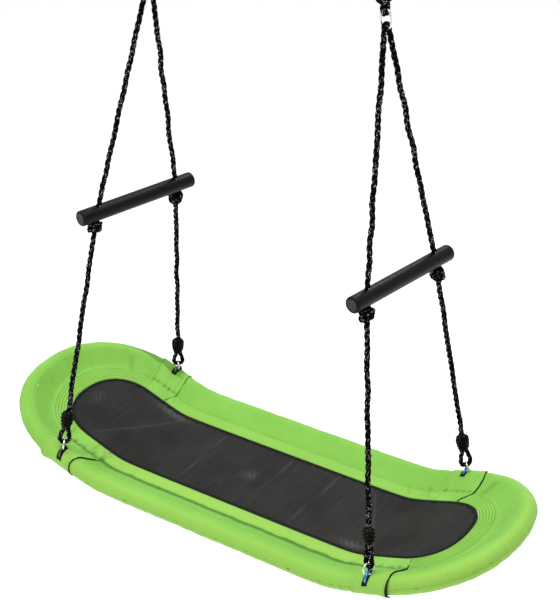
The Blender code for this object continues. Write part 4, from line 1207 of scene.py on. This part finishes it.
def lower_leg(end_name, end, edge, where):
    """Ring, eye, clamp, rope and knot at one corner; it returns the knot's centre, its pull and the knot."""
    body = "legs_" + end_name
    top, hole = hoop_place(end, edge, *HOOP_TOP), hole_centre(end, edge)
    pull = (hole - top).normalized()
    knot_centre = hole - pull * (GRIP_RADIUS + KNOT_HALF_HEIGHT + KNOT_CLEARANCE)
    link_centre = top + pull * (LINK_RADIUS - LINK_WIRE - HOOP_ROD - LINK_PLAY[end_name])
    eye_bottom = link_centre + pull * (LINK_RADIUS - LINK_WIRE - ROPE - EYE_CLEARANCE)
    clamp_bottom = eye_bottom + pull * (EYE_LENGTH + CLAMP_FIT[where][0])
    flat_x = (Vector((1, 0, 0)) - pull * pull.x).normalized()
    turn = math.radians(RING_TURN[where])
    ring_side = flat_x * math.cos(turn) + pull.cross(flat_x) * math.sin(turn)
    eye_side = pull.cross(ring_side).normalized()
    ring = rod("visual_link_ring_" + where, circle_line(link_centre, LINK_RADIUS, ring_side, pull), LINK_WIRE,
               "steel", body, closed=True)
    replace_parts(ring, "link_ring_" + where)
    loop_centre = eye_bottom + pull * EYE_RADIUS
    neck = [(0.020, 0.0052), (0.004, 0.0054), (-0.010, 0.0072), (-0.022, 0.0106)]
    path = [clamp_bottom + pull * along - eye_side * out for along, out in neck]
    for angle in np.radians((-12, 15, 42, 70, 90, 110, 138, 165, 192)):
        path.append(loop_centre - EYE_RADIUS * (math.cos(angle) * eye_side + math.sin(angle) * pull))
    path += [clamp_bottom + pull * along + eye_side * out for along, out in neck[::-1]]
    eye = rope("rope_eye_" + where, spline(path, ROPE_STEP), body, EYE_ROPE, seed=edge + 5)
    barrel = clamp(where, clamp_bottom, pull, eye_side, body)
    start = knot_centre - pull * ROPE_IN_KNOT
    line = straight(start, clamp_bottom + pull * (CLAMP_FIT[where][1] - 0.016), 0.0011, 60 + 7 * end + edge)
    cord = rope("visual_lower_rope_" + where, line, body, seed=end * 3 + edge + 9)
    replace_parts(cord, "lower_rope_" + where)
    lump = knot("handle_knot_" + where, knot_centre, pull, 0.7 * end + 0.9 * edge, body)
    return knot_centre, pull, lump


def upper_leg(end_name, end, knots):
    """The rope from knot to knot over the clip: two taut runs and the bight between them."""
    body = "legs_" + end_name
    centre, pull = apex(end)
    side = Vector((0, 1, 0))
    holes = {edge: hole_centre(end, edge) for edge in EDGES.values()}
    tangents = {edge: centre + side * edge * BIGHT_RADIUS for edge in EDGES.values()}
    tops = {edge: holes[edge].lerp(tangents[edge], 0.90) for edge in EDGES.values()}
    route = [tops[-1], holes[-1].lerp(tangents[-1], 0.95), *half_turn(centre, BIGHT_RADIUS, side, pull),
             holes[1].lerp(tangents[1], 0.95), tops[1]]
    bight = rope("rope_bight_" + end_name, spline(route, ROPE_STEP), body, seed=3)
    for edge_name, edge in EDGES.items():
        knot_centre, knot_pull, lump = knots[edge]
        hole, top = holes[edge], tops[edge]
        start, above = knot_centre + knot_pull * ROPE_IN_KNOT, hole.lerp(top, 0.08)
        through = spline([start, hole - knot_pull * 0.010, hole + (top - hole).normalized() * 0.012, above],
                         ROPE_STEP)
        line = np.concatenate([through[:-1], straight(above, top, 0.0012, 80 + 7 * end + edge)])
        cord = rope(f"visual_upper_rope_{edge_name}_{end_name}", line, body, seed=end + edge + 20)
        if edge < 0:
            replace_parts(cord, "upper_rope_" + end_name)


def hanging(end_name, end):
    """Eye, knot and doubled rope above the clip, up to the top ring."""
    centre, pull = apex(end)
    side = Vector((0, 1, 0))
    upper_bar, ring_bar = centre + pull * 2 * CLIP_HALF_HEIGHT, centre + pull * HANG_LENGTH
    knot_centre = centre + pull * HANG_KNOT_AT
    neck = [(-0.006, 0.0050), (-0.018, 0.0085)]
    path = [knot_centre + pull * along - side * out for along, out in neck]
    path += half_turn(upper_bar, BIGHT_RADIUS, side, -pull)
    path += [knot_centre + pull * along + side * out for along, out in neck[::-1]]
    eye = rope("visual_hanging_eye_" + end_name, spline(path, ROPE_STEP), "sling", seed=4)
    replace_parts(eye, "hanging_eye_" + end_name)
    lump = knot("hanging_knot_" + end_name, knot_centre, pull, 0.4 * end, "sling")
    below, out = ring_bar - pull * 0.016, side * (BIGHT_RADIUS - 0.0008)
    path = [below - out, *half_turn(ring_bar, BIGHT_RADIUS, side, pull), below + out]
    bight = rope("rope_bight_top_" + end_name, spline(path, ROPE_STEP), "sling", seed=6)
    for edge_name, edge in EDGES.items():
        start = knot_centre + pull * 0.006 + side * edge * 0.0052
        middle = knot_centre.lerp(ring_bar, 0.55) + side * edge * 0.0072
        stop = ring_bar - pull * 0.010 + side * edge * (BIGHT_RADIUS - 0.0004)
        line = spline([start, middle, stop], ROPE_STEP)
        strand = rope(f"hanging_strand_{edge_name}_{end_name}", line, "sling", seed=end + edge + 30)
        if edge < 0:
            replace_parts(strand, "hanging_rope_" + end_name)
    circle = circle_line(ring_bar + UP * RING_RADIUS, RING_RADIUS, Vector((1, 0, 0)), UP)
    ring = rod("visual_hang_ring_" + end_name, circle, RING_WIRE, "steel", "hangers", closed=True)
    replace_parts(ring, "hang_ring_" + end_name)


def turned_mesh(name, profile, centre, axis, sides, closed):
    """A body of revolution: the profile is a run of (along, radius), closed on itself or with flat ends."""
    axis = np.array(axis)
    across = np.array(Vector(axis).orthogonal().normalized())
    turns = np.linspace(0, 2 * math.pi, sides, endpoint=False)[None]
    along, radii = np.array(profile).T
    line = np.array(centre) + along[:, None] * axis
    points = rings(line, radii[:, None] * np.ones((1, sides)), turns, across, np.cross(axis, across))
    faces = grid_faces(len(profile), sides, True, closed)
    if not closed:
        faces.append(tuple(range(sides)))
        faces.append(tuple(reversed(range((len(profile) - 1) * sides, len(profile) * sides))))
    mesh = bpy.data.meshes.new(name)
    mesh.from_pydata(points.reshape(-1, 3).tolist(), [], faces)
    return clean(mesh)


def handle(end_name, end):
    """Foam grip with rounded ends, drilled for the ropes, and its two end plugs."""
    body = "legs_" + end_name
    axis, centre = handle_axis(end), handle_centre(end)
    rounded = [(HANDLE_HALF - GRIP_LIP * (1 - math.sin(t)), GRIP_RADIUS - GRIP_LIP * (1 - math.cos(t)))
               for t in np.radians([0, 22, 45, 68, 90])]
    profile = [(-along, radius) for along, radius in rounded[::-1]]
    profile += [(HANDLE_HALF * (2 * part - 1), GRIP_RADIUS) for part in np.linspace(0.04, 0.96, 40)]
    profile += [*rounded, (HANDLE_HALF, GRIP_BORE), (-HANDLE_HALF, GRIP_BORE)]
    name = "visual_handle_grip_" + end_name
    grip = placed(name, turned_mesh(name, profile, centre, axis, 56, True), "grip", body)
    for edge in EDGES.values():
        hole = hole_centre(end, edge)
        drill = [(-0.03, HOLE_RADIUS), (0.03, HOLE_RADIUS)]
        mesh = turned_mesh("drill", drill, hole, (apex(end)[0] - hole).normalized(), 28, False)
        cutter = bpy.data.objects.new("drill", mesh)
        bpy.context.scene.collection.objects.link(cutter)
        cut = grip.modifiers.new("hole", "BOOLEAN")
        cut.operation, cut.solver, cut.object = "DIFFERENCE", "EXACT", cutter
        apply_modifiers(grip)
        bpy.data.objects.remove(cutter)
    grip.data.set_sharp_from_angle(angle=math.radians(55))
    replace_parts(grip, "handle_grip_" + end_name)
    for edge_name, edge in EDGES.items():
        name = f"handle_plug_{edge_name}_{end_name}"
        out = axis * edge
        mesh = turned_mesh("plug", PLUG_OUTLINE, centre + out * HANDLE_HALF, out, 48, False)
        plug = placed("visual_" + name, mesh, "plug", body)
        plug.data.set_sharp_from_angle(angle=math.radians(50))
        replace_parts(plug, name)


def clip(end_name, end):
    """Oval snap clip with its spring gate and the gate's pin."""
    centre, pull = apex(end)
    body = "legs_" + end_name
    out = (Vector((end, 0, 0)) - pull * pull.x * end).normalized()
    side = pull.cross(out).normalized()
    middle = centre + pull * CLIP_HALF_HEIGHT
    arm = CLIP_HALF_HEIGHT - CLIP_HALF_WIDTH

    def place(across, up):
        return middle + out * across + pull * up

    bends = ((-1, range(0, -181, -12)), (1, range(180, -1, -12)))
    route = [place(CLIP_HALF_WIDTH * math.cos(t), level * arm + CLIP_HALF_WIDTH * math.sin(t))
             for level, turns in bends for t in np.radians(turns)]
    wire = rod("visual_clip_body_" + end_name, spline(route, ROD_STEP), CLIP_WIRE, "steel", body)
    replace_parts(wire, "clip_body_" + end_name)
    pin = place(CLIP_HALF_WIDTH, GATE_LOW - arm)
    gate_line = spline([pin, place(CLIP_HALF_WIDTH, 0), place(CLIP_HALF_WIDTH, arm - GATE_HIGH)], ROD_STEP)
    gate = rod("visual_clip_gate_" + end_name, gate_line, GATE_WIRE, "steel", "gate_" + end_name)
    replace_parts(gate, "clip_gate_" + end_name)
    pin_line = np.array([pin + side * part * PIN_HALF for part in (-1, -0.5, 0, 0.5, 1)])
    rod("clip_pin_" + end_name, pin_line, PIN_RADIUS, "steel", body)


def carried_nodes():
    """Procedural materials on the CAD nodes that stay."""
    kinds = {"frame_tube": "tube", "handle_tube": "tube", "foam_end": "foam", "foam_side": "foam"}
    for name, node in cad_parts.items():
        kind = kinds.get("_".join(name.split("_")[:2]))
        if kind:
            node.data.materials.clear()
            node.data.materials.append(MATERIALS[kind])


add_camera()
MATERIALS = make_materials()
for end_name, end in ENDS.items():
    knots = {edge: lower_leg(end_name, end, edge, f"{edge_name}_{end_name}")
             for edge_name, edge in EDGES.items()}
    upper_leg(end_name, end, knots)
    hanging(end_name, end)
    handle(end_name, end)
    clip(end_name, end)
add_studio()
covers()
for end_name, end in ENDS.items():
    for edge_name, edge in EDGES.items():
        patch(end, edge, f"{edge_name}_{end_name}")
        hoop(end, edge, f"{edge_name}_{end_name}")
cover_stitching()
binding()
mat()
carried_nodes()
